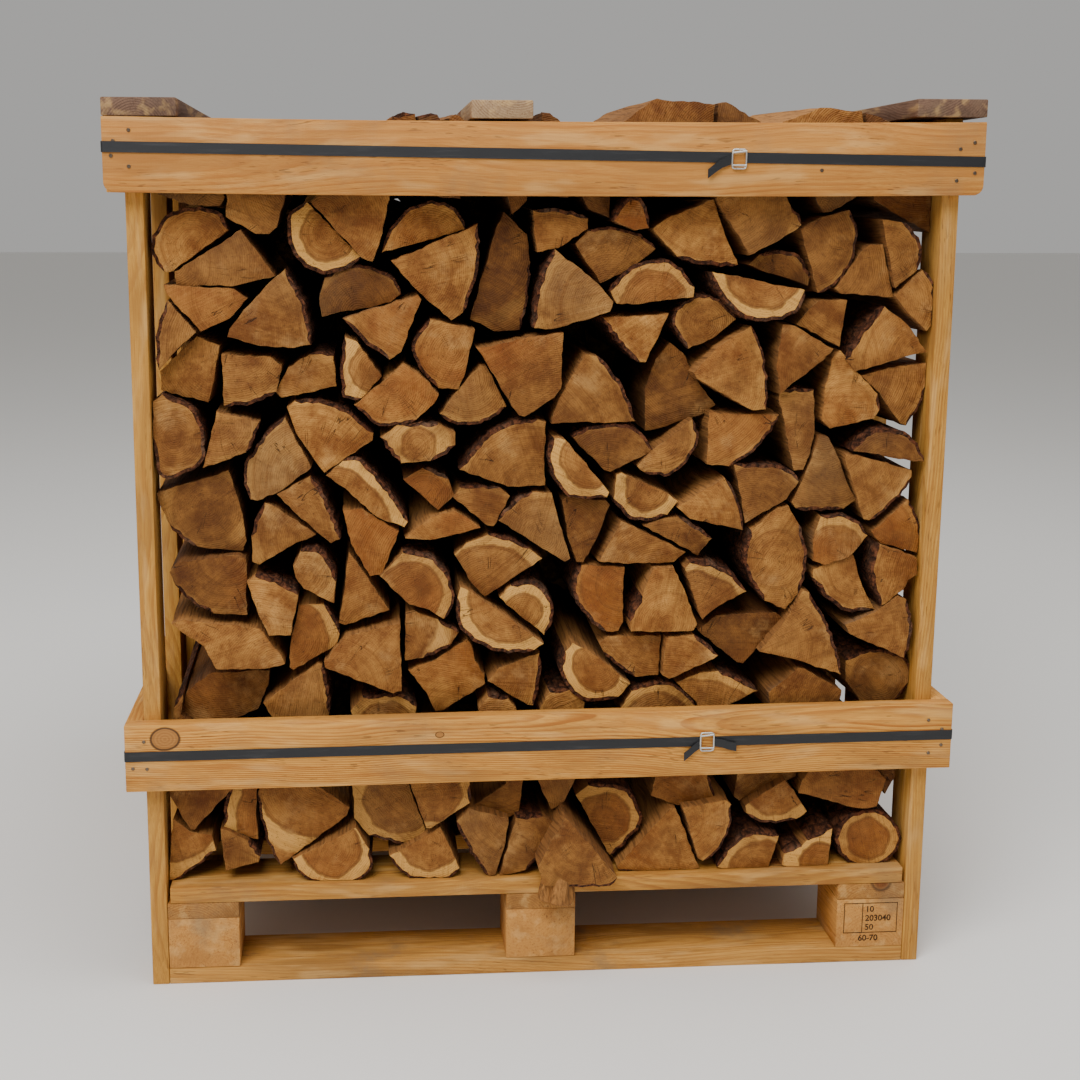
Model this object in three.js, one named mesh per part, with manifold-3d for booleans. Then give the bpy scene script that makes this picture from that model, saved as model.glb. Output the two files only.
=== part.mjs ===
// A crate of split firewood: a block pallet, upright side boards, two strapped belts of boards,
// three stacking boards on top and three rows of stacked logs.
// Millimetres, +Z up, the front towards -Y. The origin is on the floor under the middle of the pallet.
import * as THREE from "three";
import { mergeVertices } from "three/addons/utils/BufferGeometryUtils.js";
import Module from "manifold-3d";

// ---- Driving dimensions ----
const PALLET_WIDTH = 1004; // over the blocks, left to right
const PALLET_DEPTH = 1000; // front to back
const BOARD = 22; // thickness of every sawn board
const GAP = 0.3; // room between pieces that touch
const BELT_HEIGHT = 90;

const BLOCK = { width: 94, depth: 92, height: 70 };
const DECK = { width: 90, count: 7, shortening: 4 }; // each end of a deck board stops short by this
const SIDE_BOARD = { width: 68, count: 5 };
const SIDE_TOP = { left: 1130, right: 1141.6 }; // the right side boards stand a little proud
const SIDE_FOOT_RAISED = 93; // every second side board stops above the side fork openings

const UPPER_BELT = { middle: 1091.3, tilt: 0, cornerRadius: 12, sag: 3.3 };
const LOWER_BELT = { middle: 329.5, tilt: 0.39, cornerRadius: 0, sag: 0 }; // degrees, right end up
const STRAP = { width: 13, thickness: 0.8, cornerRadius: 2 };
const UPPER_STRAP = { middle: 1093.8, tilt: -0.68 };
const LOWER_STRAP = { middle: 332.2, tilt: 0.33 };
const BUCKLE = { width: 21, height: 27, wire: 2.6 };
const UPPER_BUCKLE_X = 232.5;
const LOWER_BUCKLE_X = 214;

const STACKING_WIDTH = 90;
const MIDDLE_STACKER = { left: -100, right: -24, wane: 10 }; // wane: the bark bevel on its left edge

const LOG_LENGTH = 330;
const LOG_ROWS = 3;
const LOG_CLEARANCE = 0.8; // between the outermost logs and the side boards
const OVERHANG = 40; // how far one log of the bottom course stands out in front of the pallet

// ---- Heights and planes that follow ----
const blockFoot = BOARD + GAP;
const stringerFoot = blockFoot + BLOCK.height + GAP;
const deckFoot = stringerFoot + BOARD + GAP;
const deckTop = deckFoot + BOARD;
const logFoot = deckTop + GAP;
const frontFace = PALLET_DEPTH / 2; // the pallet and the side boards end here, front and back
const sideInner = PALLET_WIDTH / 2 + GAP;
const sideOuter = sideInner + BOARD;
const beltInner = sideOuter + GAP;
const beltOuter = beltInner + BOARD;
const beltFront = frontFace + GAP + BOARD;
const beltTop = UPPER_BELT.middle + BELT_HEIGHT / 2;

// ---- Finishes ----
const material = (color, roughness, metalness = 0) =>
  new THREE.MeshStandardMaterial({ color, roughness, metalness });
const beltPine = material(0xc99a62, 0.72);
const palletPine = material(0xc2a172, 0.8);
const sidePine = material(0xd0a468, 0.75);
const weatheredPine = material(0x9c8570, 0.85);
const logWood = material(0x9a7048, 0.85);
const strapPlastic = material(0x3c3e42, 0.45);
const wireSteel = material(0xc8c8c4, 0.35, 1);

// ---- Scene graph helpers ----
const crate = new THREE.Group();

function addPiece(name, geometry, finish, x = 0, y = 0, z = 0) {
  const mesh = new THREE.Mesh(geometry, finish);
  mesh.name = name;
  mesh.position.set(x, y, z);
  crate.add(mesh);
  return mesh;
}

// A box given by its lowest corner and its size.
function addBoard(name, [x, y, z], [width, depth, height], finish) {
  const geometry = new THREE.BoxGeometry(width, depth, height);
  return addPiece(name, geometry, finish, x + width / 2, y + depth / 2, z + height / 2);
}

// An outline drawn in X and Z, run along Y and centred on y = 0.
function prismAlongY(shape, length, curveSegments = 4) {
  const settings = { depth: length, bevelEnabled: false, curveSegments };
  const geometry = new THREE.ExtrudeGeometry(shape, settings);
  return geometry.translate(0, 0, -length / 2).rotateX(Math.PI / 2);
}

const outline = (corners) =>
  new THREE.Shape(corners.map(([x, z]) => new THREE.Vector2(x, z)));

// ---- Pallet ----
const blockColumns = {
  left: -PALLET_WIDTH / 2,
  middle: -49,
  right: PALLET_WIDTH / 2 - BLOCK.width,
};
const blockRows = {
  front: -frontFace,
  middle: -BLOCK.depth / 2,
  rear: frontFace - BLOCK.depth,
};

function addPallet() {
  for (const [row, y] of Object.entries(blockRows)) {
    const skid = [PALLET_WIDTH, BLOCK.depth, BOARD];
    addBoard(`skid_${row}`, [-PALLET_WIDTH / 2, y, 0], skid, palletPine);
    for (const [column, x] of Object.entries(blockColumns)) {
      const size = [BLOCK.width, BLOCK.depth, BLOCK.height];
      addBoard(`block_${row}_${column}`, [x, y, blockFoot], size, palletPine);
    }
  }
  for (const [column, x] of Object.entries(blockColumns)) {
    const size = [BLOCK.width, PALLET_DEPTH, BOARD];
    addBoard(`stringer_${column}`, [x, -frontFace, stringerFoot], size, palletPine);
  }
  const length = PALLET_WIDTH - 2 * DECK.shortening;
  const pitch = (PALLET_DEPTH - DECK.width) / (DECK.count - 1);
  for (let i = 0; i < DECK.count; i++) {
    const corner = [-length / 2, -frontFace + i * pitch, deckFoot];
    addBoard(`deck_board_${i + 1}`, corner, [length, DECK.width, BOARD], palletPine);
  }
}

// ---- Upright side boards ----
function addSideBoards() {
  const pitch = (PALLET_DEPTH - SIDE_BOARD.width) / (SIDE_BOARD.count - 1);
  for (const side of ["left", "right"]) {
    const x = side === "left" ? -sideOuter : sideInner;
    for (let i = 0; i < SIDE_BOARD.count; i++) {
      const foot = i % 2 ? SIDE_FOOT_RAISED : 0;
      const size = [BOARD, SIDE_BOARD.width, SIDE_TOP[side] - foot];
      const corner = [x, -frontFace + i * pitch, foot];
      addBoard(`side_board_${side}_${i + 1}`, corner, size, sidePine);
    }
  }
}

// ---- Belts of boards ----
// A front or back board: its length sags a little at mid-span, and its lower corners may be worn round.
function beltBoardOutline({ sag, cornerRadius: r }) {
  const half = beltOuter;
  const top = BELT_HEIGHT / 2;
  const shape = new THREE.Shape();
  shape.moveTo(-half, top);
  shape.lineTo(-half, -top + r);
  if (r) shape.absarc(-half + r, -top + r, r, Math.PI, 1.5 * Math.PI, false);
  shape.quadraticCurveTo(0, -top - 2 * sag, half - r, -top);
  if (r) shape.absarc(half - r, -top + r, r, -0.5 * Math.PI, 0, false);
  shape.lineTo(half, top);
  shape.quadraticCurveTo(0, top - 2 * sag, -half, top);
  return shape;
}

const straightBoard = { sag: 0, cornerRadius: 0 };

function addBelt(level, belt) {
  const rise = beltOuter * Math.tan(THREE.MathUtils.degToRad(belt.tilt));
  const ends = [
    ["front", -1, belt],
    ["back", 1, straightBoard],
  ];
  for (const [end, side, form] of ends) {
    const geometry = prismAlongY(beltBoardOutline(form), BOARD);
    const y = side * (beltFront - BOARD / 2);
    const board = addPiece(`belt_${level}_${end}`, geometry, beltPine, 0, y, belt.middle);
    board.rotation.y = -THREE.MathUtils.degToRad(belt.tilt);
  }
  const size = [BOARD, PALLET_DEPTH, BELT_HEIGHT];
  const foot = belt.middle - BELT_HEIGHT / 2;
  addBoard(`belt_${level}_left`, [-beltOuter, -frontFace, foot - rise], size, beltPine);
  addBoard(`belt_${level}_right`, [beltInner, -frontFace, foot + rise], size, beltPine);
}

// ---- Straps and wire buckles ----
// A flat band round the whole belt, with its corners pulled round.
function roundedRectangle(halfX, halfY, r) {
  const shape = new THREE.Shape();
  shape.moveTo(-halfX + r, -halfY);
  shape.lineTo(halfX - r, -halfY);
  shape.absarc(halfX - r, -halfY + r, r, -0.5 * Math.PI, 0, false);
  shape.lineTo(halfX, halfY - r);
  shape.absarc(halfX - r, halfY - r, r, 0, 0.5 * Math.PI, false);
  shape.lineTo(-halfX + r, halfY);
  shape.absarc(-halfX + r, halfY - r, r, 0.5 * Math.PI, Math.PI, false);
  shape.lineTo(-halfX, -halfY + r);
  shape.absarc(-halfX + r, -halfY + r, r, Math.PI, 1.5 * Math.PI, false);
  return shape;
}

const strapInset = 2 * GAP; // clear of the boards, with room for the belt's own tilt

function addStrap(level, { middle, tilt }) {
  const [x, y] = [beltOuter + strapInset, beltFront + strapInset];
  const [r, t] = [STRAP.cornerRadius, STRAP.thickness];
  const band = roundedRectangle(x + t, y + t, r);
  band.holes.push(roundedRectangle(x, y, r - t));
  const settings = { depth: STRAP.width, bevelEnabled: false, curveSegments: 3 };
  const geometry = new THREE.ExtrudeGeometry(band, settings).translate(0, 0, -STRAP.width / 2);
  const strap = addPiece(`strap_${level}`, geometry, strapPlastic, 0, 0, middle);
  strap.rotation.y = -THREE.MathUtils.degToRad(tilt);
}

// A flat frame of wire, the strap's ends pass through it.
function addBuckle(level, x, strap) {
  const { width, height, wire } = BUCKLE;
  const frame = roundedRectangle(width / 2, height / 2, wire);
  frame.holes.push(roundedRectangle(width / 2 - wire, height / 2 - wire, wire / 2));
  const z = strap.middle + x * Math.tan(THREE.MathUtils.degToRad(strap.tilt));
  const y = -(beltFront + strapInset + STRAP.thickness + GAP + wire / 2);
  addPiece(`buckle_${level}`, prismAlongY(frame, wire, 2), wireSteel, x, y, z - 2);
}

// ---- Stacking boards, laid flat on the top belt from front to back ----
function addStackingBoards() {
  const foot = beltTop + GAP;
  const size = [STACKING_WIDTH, 2 * beltFront, BOARD];
  const left = [-beltOuter, -beltFront, foot];
  const right = [beltOuter - STACKING_WIDTH, -beltFront, SIDE_TOP.right + GAP];
  addBoard("stacking_board_left", left, size, weatheredPine);
  addBoard("stacking_board_right", right, size, weatheredPine);
  const { left: a, right: b, wane } = MIDDLE_STACKER;
  const section = outline([
    [a, 0],
    [b, 0],
    [b, BOARD],
    [a + wane, BOARD],
  ]);
  const geometry = prismAlongY(section, 2 * beltFront);
  addPiece("stacking_board_middle", geometry, weatheredPine, 0, 0, foot);
}

// ---- Rows of stacked logs ----
// Each row is one solid as high and as wide as the logs it stands for. The list runs along the top of
// the heap from left to right, and stays under the stacking boards and the top belt where they lie.
const heapTop = [
  [-1, 1122], [-440, 1132], [-222, 1134], [-190, 1146], [-150, 1146], [-128, 1134], [-20, 1134],
  [0, 1149], [24, 1136], [92, 1138], [138, 1165], [226, 1161], [268, 1137], [292, 1138],
  [340, 1156], [385, 1156], [420, 1149], [446, 1138], [1, 1136],
];

// The overhanging log's end: split faces to the left and right, bark below.
const overhangEnd = [
  [26, 236], [-12, 168], [-3, 139], [20, 137.6], [78, 137.6], [97, 150],
];

// A closed outline pushed out from its own middle by a distance.
function grownOutline(corners, distance) {
  const [cx, cz] = [0, 1].map((k) => corners.reduce((s, c) => s + c[k], 0) / corners.length);
  return corners.map(([x, z]) => {
    const reach = Math.hypot(x - cx, z - cz);
    const scale = (reach + distance) / reach;
    return [cx + (x - cx) * scale, cz + (z - cz) * scale];
  });
}

function addLogRows() {
  const half = sideInner - LOG_CLEARANCE;
  const heap = heapTop.map(([x, z]) => [Math.abs(x) === 1 ? x * half : x, z]);
  const evenTop = [[-half, 1128], [-200, 1132], [0, 1128], [240, 1133], [half, 1128]];
  const [tip, left, , , , right] = grownOutline(overhangEnd, 2);
  const notch = [[left[0], logFoot], left, tip, right, [right[0], logFoot]];

  const rows = [
    ["front", heap, notch],
    ["middle", evenTop, []],
    ["rear", heap, []],
  ];
  const pitch = (PALLET_DEPTH - 4 - LOG_LENGTH) / (LOG_ROWS - 1);
  rows.forEach(([name, top, cut], i) => {
    const foot = [[-half, logFoot], ...cut, [half, logFoot]];
    const section = outline([...foot, ...[...top].reverse()]);
    const y = (i - 1) * pitch;
    addPiece(`firewood_row_${name}`, prismAlongY(section, LOG_LENGTH), logWood, 0, y, 0);
  });
}

// ---- The log that overhangs the front edge, with the stump of a branch on its end ----
const wasm = await Module();
wasm.setup();

function toSolid(geometry) {
  const plain = geometry.index ? geometry.toNonIndexed() : geometry.clone();
  plain.deleteAttribute("normal");
  plain.deleteAttribute("uv");
  const merged = mergeVertices(plain);
  const vertProperties = merged.attributes.position.array;
  const triVerts = new Uint32Array(merged.index.array);
  return new wasm.Manifold(new wasm.Mesh({ numProp: 3, vertProperties, triVerts }));
}

function toGeometry(solid) {
  const { vertProperties, triVerts } = solid.getMesh();
  return new THREE.BufferGeometry()
    .setAttribute("position", new THREE.BufferAttribute(vertProperties, 3))
    .setIndex(new THREE.BufferAttribute(triVerts, 1));
}

const STUMP = { top: [4, -520, 168], foot: [2, -537, 113], topRadius: 17, footRadius: 12 };

function addOverhangingLog() {
  const middle = -frontFace - OVERHANG + LOG_LENGTH / 2;
  const log = prismAlongY(outline(overhangEnd), LOG_LENGTH).translate(0, middle, 0);
  const top = new THREE.Vector3(...STUMP.top);
  const foot = new THREE.Vector3(...STUMP.foot);
  const along = new THREE.Vector3().subVectors(top, foot);
  const turn = new THREE.Quaternion().setFromUnitVectors(
    new THREE.Vector3(0, 1, 0),
    along.clone().normalize(),
  );
  const centre = top.clone().add(foot).multiplyScalar(0.5);
  const stump = new THREE.CylinderGeometry(STUMP.topRadius, STUMP.footRadius, along.length(), 12)
    .applyQuaternion(turn)
    .translate(centre.x, centre.y, centre.z);
  const joined = toSolid(log).add(toSolid(stump));
  addPiece("log_overhanging", toGeometry(joined), logWood);
}

addPallet();
addSideBoards();
addBelt("upper", UPPER_BELT);
addBelt("lower", LOWER_BELT);
addStrap("upper", UPPER_STRAP);
addStrap("lower", LOWER_STRAP);
addBuckle("upper", UPPER_BUCKLE_X, UPPER_STRAP);
addBuckle("lower", LOWER_BUCKLE_X, LOWER_STRAP);
addStackingBoards();
addLogRows();
addOverhangingLog();

export default crate;
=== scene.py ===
"""Split firewood stacked in a strapped crate: sawn boards, straps, wire buckles, nails and logs."""
import math
import random

import bpy
import numpy as np
from bpy.props import FloatProperty, FloatVectorProperty, IntProperty, PointerProperty
from mathutils import Matrix, Vector


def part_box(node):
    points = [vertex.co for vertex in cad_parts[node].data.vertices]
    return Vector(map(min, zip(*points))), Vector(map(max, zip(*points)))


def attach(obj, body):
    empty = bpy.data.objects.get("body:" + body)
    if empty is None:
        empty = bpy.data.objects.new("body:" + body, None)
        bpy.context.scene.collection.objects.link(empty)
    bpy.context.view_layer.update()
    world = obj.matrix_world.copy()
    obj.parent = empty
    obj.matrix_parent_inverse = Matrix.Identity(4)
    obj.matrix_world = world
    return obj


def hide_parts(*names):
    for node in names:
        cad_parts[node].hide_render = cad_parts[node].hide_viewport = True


bl_info = {
    "name": "Firewood Crate",
    "version": (1, 0, 0),
    "blender": (4, 5, 0),
    "location": "View3D > Sidebar > Firewood",
    "description": "Builds a strapped crate of split firewood around its frame",
    "category": "Add Mesh",
}

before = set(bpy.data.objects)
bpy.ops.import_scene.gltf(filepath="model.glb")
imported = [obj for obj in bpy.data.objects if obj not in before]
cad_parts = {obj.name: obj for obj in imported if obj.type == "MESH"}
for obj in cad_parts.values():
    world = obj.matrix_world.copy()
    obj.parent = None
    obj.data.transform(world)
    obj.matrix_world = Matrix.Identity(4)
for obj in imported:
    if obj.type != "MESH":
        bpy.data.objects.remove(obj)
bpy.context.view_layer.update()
NODES = sorted(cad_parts)
MM = 0.001
X, Y, Z = range(3)


def srgb(red, green, blue):
    """A colour given in 0 to 255 as it is seen, made linear."""
    return tuple((v / 255) ** 2.2 for v in (red, green, blue))


# ---------------------------------------------------------------- shader maths
class Value:
    """A socket that takes part in sums."""

    def __init__(self, tree, socket):
        self.tree = tree
        self.socket = socket

    def math(self, operation, *terms):
        return self.tree.add("ShaderNodeMath", {"operation": operation}, dict(enumerate(terms)))

    def __add__(self, other):
        return self.math("ADD", self, other)

    def __sub__(self, other):
        return self.math("SUBTRACT", self, other)

    def __rsub__(self, other):
        return self.math("SUBTRACT", other, self)

    def __mul__(self, other):
        return self.math("MULTIPLY", self, other)

    def __truediv__(self, other):
        return self.math("DIVIDE", self, other)

    def __pow__(self, other):
        return self.math("POWER", self, other)

    __radd__ = __add__
    __rmul__ = __mul__

    def fract(self):
        return self.math("FRACT", self)

    def sine(self):
        return self.math("SINE", self)

    def absolute(self):
        return self.math("ABSOLUTE", self)

    def least(self, other):
        return self.math("MINIMUM", self, other)

    def step(self, low, high):
        """0 below low and 1 above high, with a soft change between; low may be the higher of the two."""
        sockets = {0: self, 1: low, 2: high, 3: 0.0, 4: 1.0}
        return self.tree.add("ShaderNodeMapRange", {"interpolation_type": "SMOOTHSTEP"}, sockets)


class Tree:
    """The nodes of one material."""

    def __init__(self, name):
        self.material = bpy.data.materials.new(name)
        self.material.use_nodes = True
        self.nodes = self.material.node_tree.nodes
        self.links = self.material.node_tree.links
        self.shader = self.nodes["Principled BSDF"]

    def add(self, kind, settings=None, sockets=None, output=0):
        """Adds a node of a kind, with its settings first and then its sockets' values or links."""
        node = self.nodes.new(kind)
        for key, value in (settings or {}).items():
            setattr(node, key, value)
        for key, value in (sockets or {}).items():
            self.feed(node.inputs[key], value)
        return Value(self, node.outputs[output])

    def feed(self, socket, value):
        if isinstance(value, Value):
            self.links.new(value.socket, socket)
        elif isinstance(value, (int, float)) or socket.type == "VECTOR":
            socket.default_value = value
        else:
            socket.default_value = (*value, 1.0)

    def place(self):
        return self.add("ShaderNodeTexCoord", output="Object")

    def attribute(self, name):
        return self.add("ShaderNodeAttribute", {"attribute_name": name}, output="Vector")

    def vector(self, operation, a, b):
        return self.add("ShaderNodeVectorMath", {"operation": operation}, {0: a, 1: b})

    def split(self, vector):
        node = self.add("ShaderNodeSeparateXYZ", {}, {0: vector}).socket.node
        return [Value(self, socket) for socket in node.outputs]

    def join(self, x, y, z):
        return self.add("ShaderNodeCombineXYZ", {}, {0: x, 1: y, 2: z})

    def noise(self, vector, scale=1.0, detail=3.0, roughness=0.5):
        sockets = {"Vector": vector, "Scale": scale, "Detail": detail, "Roughness": roughness}
        return self.add("ShaderNodeTexNoise", {}, sockets)

    def cells(self, vector, scale=1.0, feature="F1", output=0):
        sockets = {"Vector": vector, "Scale": scale}
        return self.add("ShaderNodeTexVoronoi", {"feature": feature}, sockets, output)

    def mix(self, factor, a, b):
        return self.add("ShaderNodeMix", {"data_type": "RGBA"}, {0: factor, 6: a, 7: b}, output=2)

    def bump(self, height, distance, strength=1.0):
        sockets = {"Strength": strength, "Distance": distance, "Height": height}
        return self.add("ShaderNodeBump", {}, sockets)

    def finish(self, **sockets):
        """Sets the shader's sockets, with _ for a space in a name."""
        for key, value in sockets.items():
            self.feed(self.shader.inputs[key.replace("_", " ")], value)
        return self.material


# ---------------------------------------------------------------- finishes
def pine(name, along, early, late, stain, ring=0.0032, figure=1.0, knots=(), grey=0.0, branches=1.0):
    """Sawn softwood: growth rings round a pith beside the board, so each face shows its own cut."""
    t = Tree(name)
    place = t.place()
    local = t.vector("ADD", place, t.attribute("grain"))
    sides = t.split(local)
    run = sides.pop(along)
    a, b = sides
    slow = t.join(run * 1.6, 0.3, 0.7)
    drift_a = (t.noise(slow, detail=2.0) - 0.5) * 0.055
    drift_b = (t.noise(t.join(run * 1.9, 5.3, 2.1), detail=2.0) - 0.5) * 0.075
    ripple = (t.noise(t.join(run * 7.0, a * 30.0, b * 30.0), detail=2.0) - 0.5) * 0.004
    a, b = a + drift_a, b + drift_b
    reach = (a * a + b * b) ** 0.5 + ripple
    eye = t.cells(t.join(run * 2.4, a * 7.0, b * 7.0), 1.0)
    branch = eye.step(0.105 * branches, 0.07 * branches)
    swirl = eye.step(0.3 * branches, 0.06 * branches) * 0.006
    phase = (reach + swirl) / ring
    cycle = phase.fract()
    dark_line = cycle.step(0.3, 0.86) * cycle.step(1.0, 0.9)
    strength = t.noise(t.join(run * 3.0, phase * 0.35, 1.7), detail=1.0).step(0.3, 0.7)
    dark_line = dark_line * (strength * 0.65 + 0.25) * figure
    fibre = t.noise(t.join(run * 22.0, a * 1300.0, b * 1300.0), detail=2.0, roughness=0.6)
    streak = t.noise(t.join(run * 5.0, a * 260.0, b * 260.0), detail=2.0)
    cloud = t.noise(t.join(run * 5.0, a * 22.0, b * 22.0), detail=3.0)
    colour = t.mix(dark_line, early, late)
    colour = t.mix(fibre.step(0.38, 0.7) * 0.55, colour, late)
    colour = t.mix(streak.step(0.5, 0.72) * 0.6, colour, late)
    colour = t.mix(cloud.step(0.45, 0.72) * 0.6, colour, stain)
    fleck = t.noise(t.join(run * 48.0, a * 520.0, b * 520.0), detail=1.0).step(0.62, 0.72)
    fleck = fleck * t.noise(t.join(run * 8.0, a * 40.0, b * 40.0), detail=1.0).step(0.45, 0.62)
    colour = t.mix(fleck * 0.6, colour, srgb(96, 58, 26))
    wear = t.noise(t.join(run * 10.0, a * 60.0, b * 60.0), detail=3.0).step(0.5, 0.3)
    colour = t.mix(wear * 0.3, colour, srgb(232, 186, 116))
    dirt = t.noise(place, 9.0, 5.0, 0.62)
    weather = dirt.step(0.5, 0.72) * 0.6 * grey
    colour = t.mix(weather, colour, srgb(122, 104, 80))
    rays = t.noise(t.join(run * 60.0, a * 400.0, b * 400.0), detail=1.0)
    knot_wood = t.mix(rays, srgb(84, 46, 18), srgb(134, 78, 32))
    colour = t.mix(branch, colour, knot_wood)
    collar = eye.step(0.13 * branches, 0.105 * branches) * (1 - eye.step(0.1 * branches, 0.085 * branches))
    colour = t.mix(collar * 0.7, colour, srgb(60, 34, 16))
    height = dark_line * 0.5 + fibre * 0.8 + streak * 0.5 - fleck * 0.6
    x, _, z = t.split(place)
    for knot_x, knot_z, radius_x, radius_z in knots:
        dx = (x - knot_x * MM) / (radius_x * MM)
        dz = (z - knot_z * MM) / (radius_z * MM)
        out = (dx * dx + dz * dz) ** 0.5 + (t.noise(place, 45.0) - 0.5) * 0.16
        rings = (out * 26.0).sine() * 0.5 + 0.5
        face = t.mix(rings * 0.45, srgb(168, 114, 56), srgb(128, 78, 36))
        colour = t.mix(out.step(1.0, 0.93), colour, face)
        edge = out.step(0.84, 0.97) * out.step(1.14, 1.0)
        colour = t.mix(edge * 0.9, colour, srgb(52, 30, 18))
        height = height - edge * 1.5
    mill = (t.noise(t.join(run * 420.0, a * 8.0, b * 8.0), detail=1.0) - 0.5) * 0.5
    return t.finish(
        Base_Color=colour,
        Roughness=0.62 + fibre * 0.2,
        Normal=t.bump(height + mill, 0.0006, 0.8),
        Specular_IOR_Level=0.35,
    )


def ring_field(t, place, pith):
    """How far out from its pith a point of a log is, with the pith's radius and the angle round it."""
    x, y, z = t.split(place)
    px, pz, radius = t.split(pith)
    warp = (t.noise(t.join(x, y * 0.25, z), 34.0, 2.0) - 0.5) * 0.007
    dx, dz = x - px, z - pz
    reach = (dx * dx + dz * dz) ** 0.5 + warp
    angle = t.add("ShaderNodeMath", {"operation": "ARCTAN2"}, {0: dz, 1: dx})
    return reach, radius, angle


def end_grain():
    """The sawn end of a log."""
    t = Tree("log_end_grain")
    place = t.place()
    # light is each log's lightness, which for logs of the shade tone is painted shade
    light, sap, seed = t.split(t.attribute("tone"))
    wear = t.split(t.attribute("rim"))[0]
    reach, radius, angle = ring_field(t, place, t.attribute("pith"))
    x, y, z = t.split(place)
    bands = t.noise(t.join(reach * 130.0, seed * 9.0, 0.5), detail=3.0, roughness=0.65)
    fine = (reach * 2300.0 + t.noise(place, 60.0) * 5.0).sine() * 0.5 + 0.5
    cloud = t.noise(t.join(x + seed, y, z), 17.0, 5.0, 0.6)
    patch = t.noise(t.join(x, y + seed, z), 46.0, 5.0, 0.72)
    dark = t.mix(light, srgb(66, 36, 14), srgb(120, 70, 26))
    pale = t.mix(light, srgb(120, 76, 34), srgb(196, 138, 70))
    colour = t.mix((cloud * 0.55 + patch * 0.6).step(0.4, 0.78), dark, pale)
    hue = t.noise(t.join(seed * 40.0, x * 4.0, z * 4.0), detail=1.0)
    colour = t.mix(hue.step(0.5, 0.75) * 0.45, colour, srgb(146, 78, 26))
    colour = t.mix(hue.step(0.45, 0.2) * 0.4, colour, srgb(132, 104, 66))
    colour = t.mix(bands.step(0.5, 0.68) * 0.4, colour, dark)
    colour = t.mix(fine * 0.12, colour, srgb(70, 38, 14))
    depth = radius - reach + (t.noise(place, 38.0, 3.0) - 0.5) * 0.014
    heart = depth.step(0.012, 0.05)
    colour = t.mix(heart * sap * 0.35, colour, srgb(110, 60, 22))
    width = sap * 0.009 + 0.005
    inside = depth.step(-0.012, -0.005)
    broken = (cloud.step(0.3, 0.6) + sap * sap * 0.7).least(1.0)
    cream = depth.step(width + 0.004, width) * inside * broken
    colour = t.mix(cream * (sap * sap * 0.66 + 0.12), colour, srgb(218, 162, 84))
    seam = depth.step(width - 0.001, width + 0.0015) * depth.step(width + 0.006, width + 0.002) * inside
    colour = t.mix(seam * (sap * 0.45 + 0.15), colour, srgb(88, 48, 18))
    grime = t.noise(t.join(x, y + seed * 3.0, z), 13.0, 6.0, 0.68)
    colour = t.mix(grime.step(0.5, 0.7) * 0.5, colour, srgb(84, 50, 22))
    colour = t.mix(grime.step(0.46, 0.3) * 0.3, colour, srgb(206, 158, 96))
    turned = t.join(angle * 6.5, reach * 9.0, seed * 31.0)
    ridge = (t.noise(turned, 1.0, 2.0) - 0.5).absolute()
    where = t.noise(t.join(angle * 2.0, reach * 22.0, seed * 17.0), detail=1.0).step(0.6, 0.68)
    crack = ridge.step(0.009, 0.002) * where
    # painted shade: the near-black in the checks stands in for the shadow inside the cracks
    colour = t.mix(crack * 0.7, colour, srgb(40, 22, 10))
    rays = t.noise(t.join(angle * 70.0, reach * 30.0, seed), detail=1.0)
    colour = t.mix(rays.step(0.55, 0.75) * 0.2, colour, pale)
    lean = seed * 6.28
    across = x * lean.sine() + z * (lean + 1.57).sine()
    saw = t.noise(t.join(across * 330.0, x * 9.0, z * 9.0), detail=2.0)
    colour = t.mix(saw.step(0.5, 0.72) * 0.3, colour, dark)
    speck = t.noise(place, 420.0, 2.0).step(0.6, 0.72)
    colour = t.mix(speck * 0.45, colour, srgb(58, 32, 14))
    chip = wear.step(0.35, 0.95) * t.noise(place, 75.0, 3.0).step(0.5, 0.62)
    colour = t.mix(chip * 0.5, colour, srgb(206, 158, 92))
    colour = t.mix(wear.step(0.0, 1.0) * 0.25, colour, srgb(60, 34, 16))
    height = saw * 1.1 + patch * 1.4 + fine * 0.25 - crack * 3.0
    return t.finish(
        Base_Color=colour,
        Roughness=0.66 + patch * 0.22,
        Normal=t.bump(height, 0.0013, 0.9),
        Specular_IOR_Level=0.25,
    )


def split_grain(name, along):
    """The torn face of wood whose fibres run along one axis."""
    t = Tree(name)
    place = t.place()
    # light is each log's lightness, which for logs of the shade tone is painted shade
    light, _, seed = t.split(t.attribute("tone"))
    sides = t.split(place)
    y = sides.pop(along)
    x, z = sides
    wave = (t.noise(t.join(y * 6.0, seed * 11.0, 0.0), detail=2.0) - 0.5) * 0.03
    fibre = t.noise(t.join((x + wave) * 330.0, y * 11.0, (z + wave) * 330.0), detail=3.0, roughness=0.6)
    broad = t.noise(t.join((x + wave) * 60.0, y * 4.0, (z + wave) * 60.0), detail=3.0)
    colour = t.mix(light, srgb(92, 56, 28), srgb(166, 114, 62))
    colour = t.mix(fibre.step(0.42, 0.68) * 0.6, colour, srgb(58, 33, 16))
    colour = t.mix(broad.step(0.5, 0.75) * 0.5, colour, srgb(140, 96, 54))
    grey = t.noise(place, 8.0, 4.0).step(0.56, 0.75)
    colour = t.mix(grey * 0.45, colour, srgb(104, 88, 70))
    return t.finish(
        Base_Color=colour,
        Roughness=0.84,
        Normal=t.bump(fibre + broad, 0.0022, 1.0),
        Specular_IOR_Level=0.25,
    )


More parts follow.
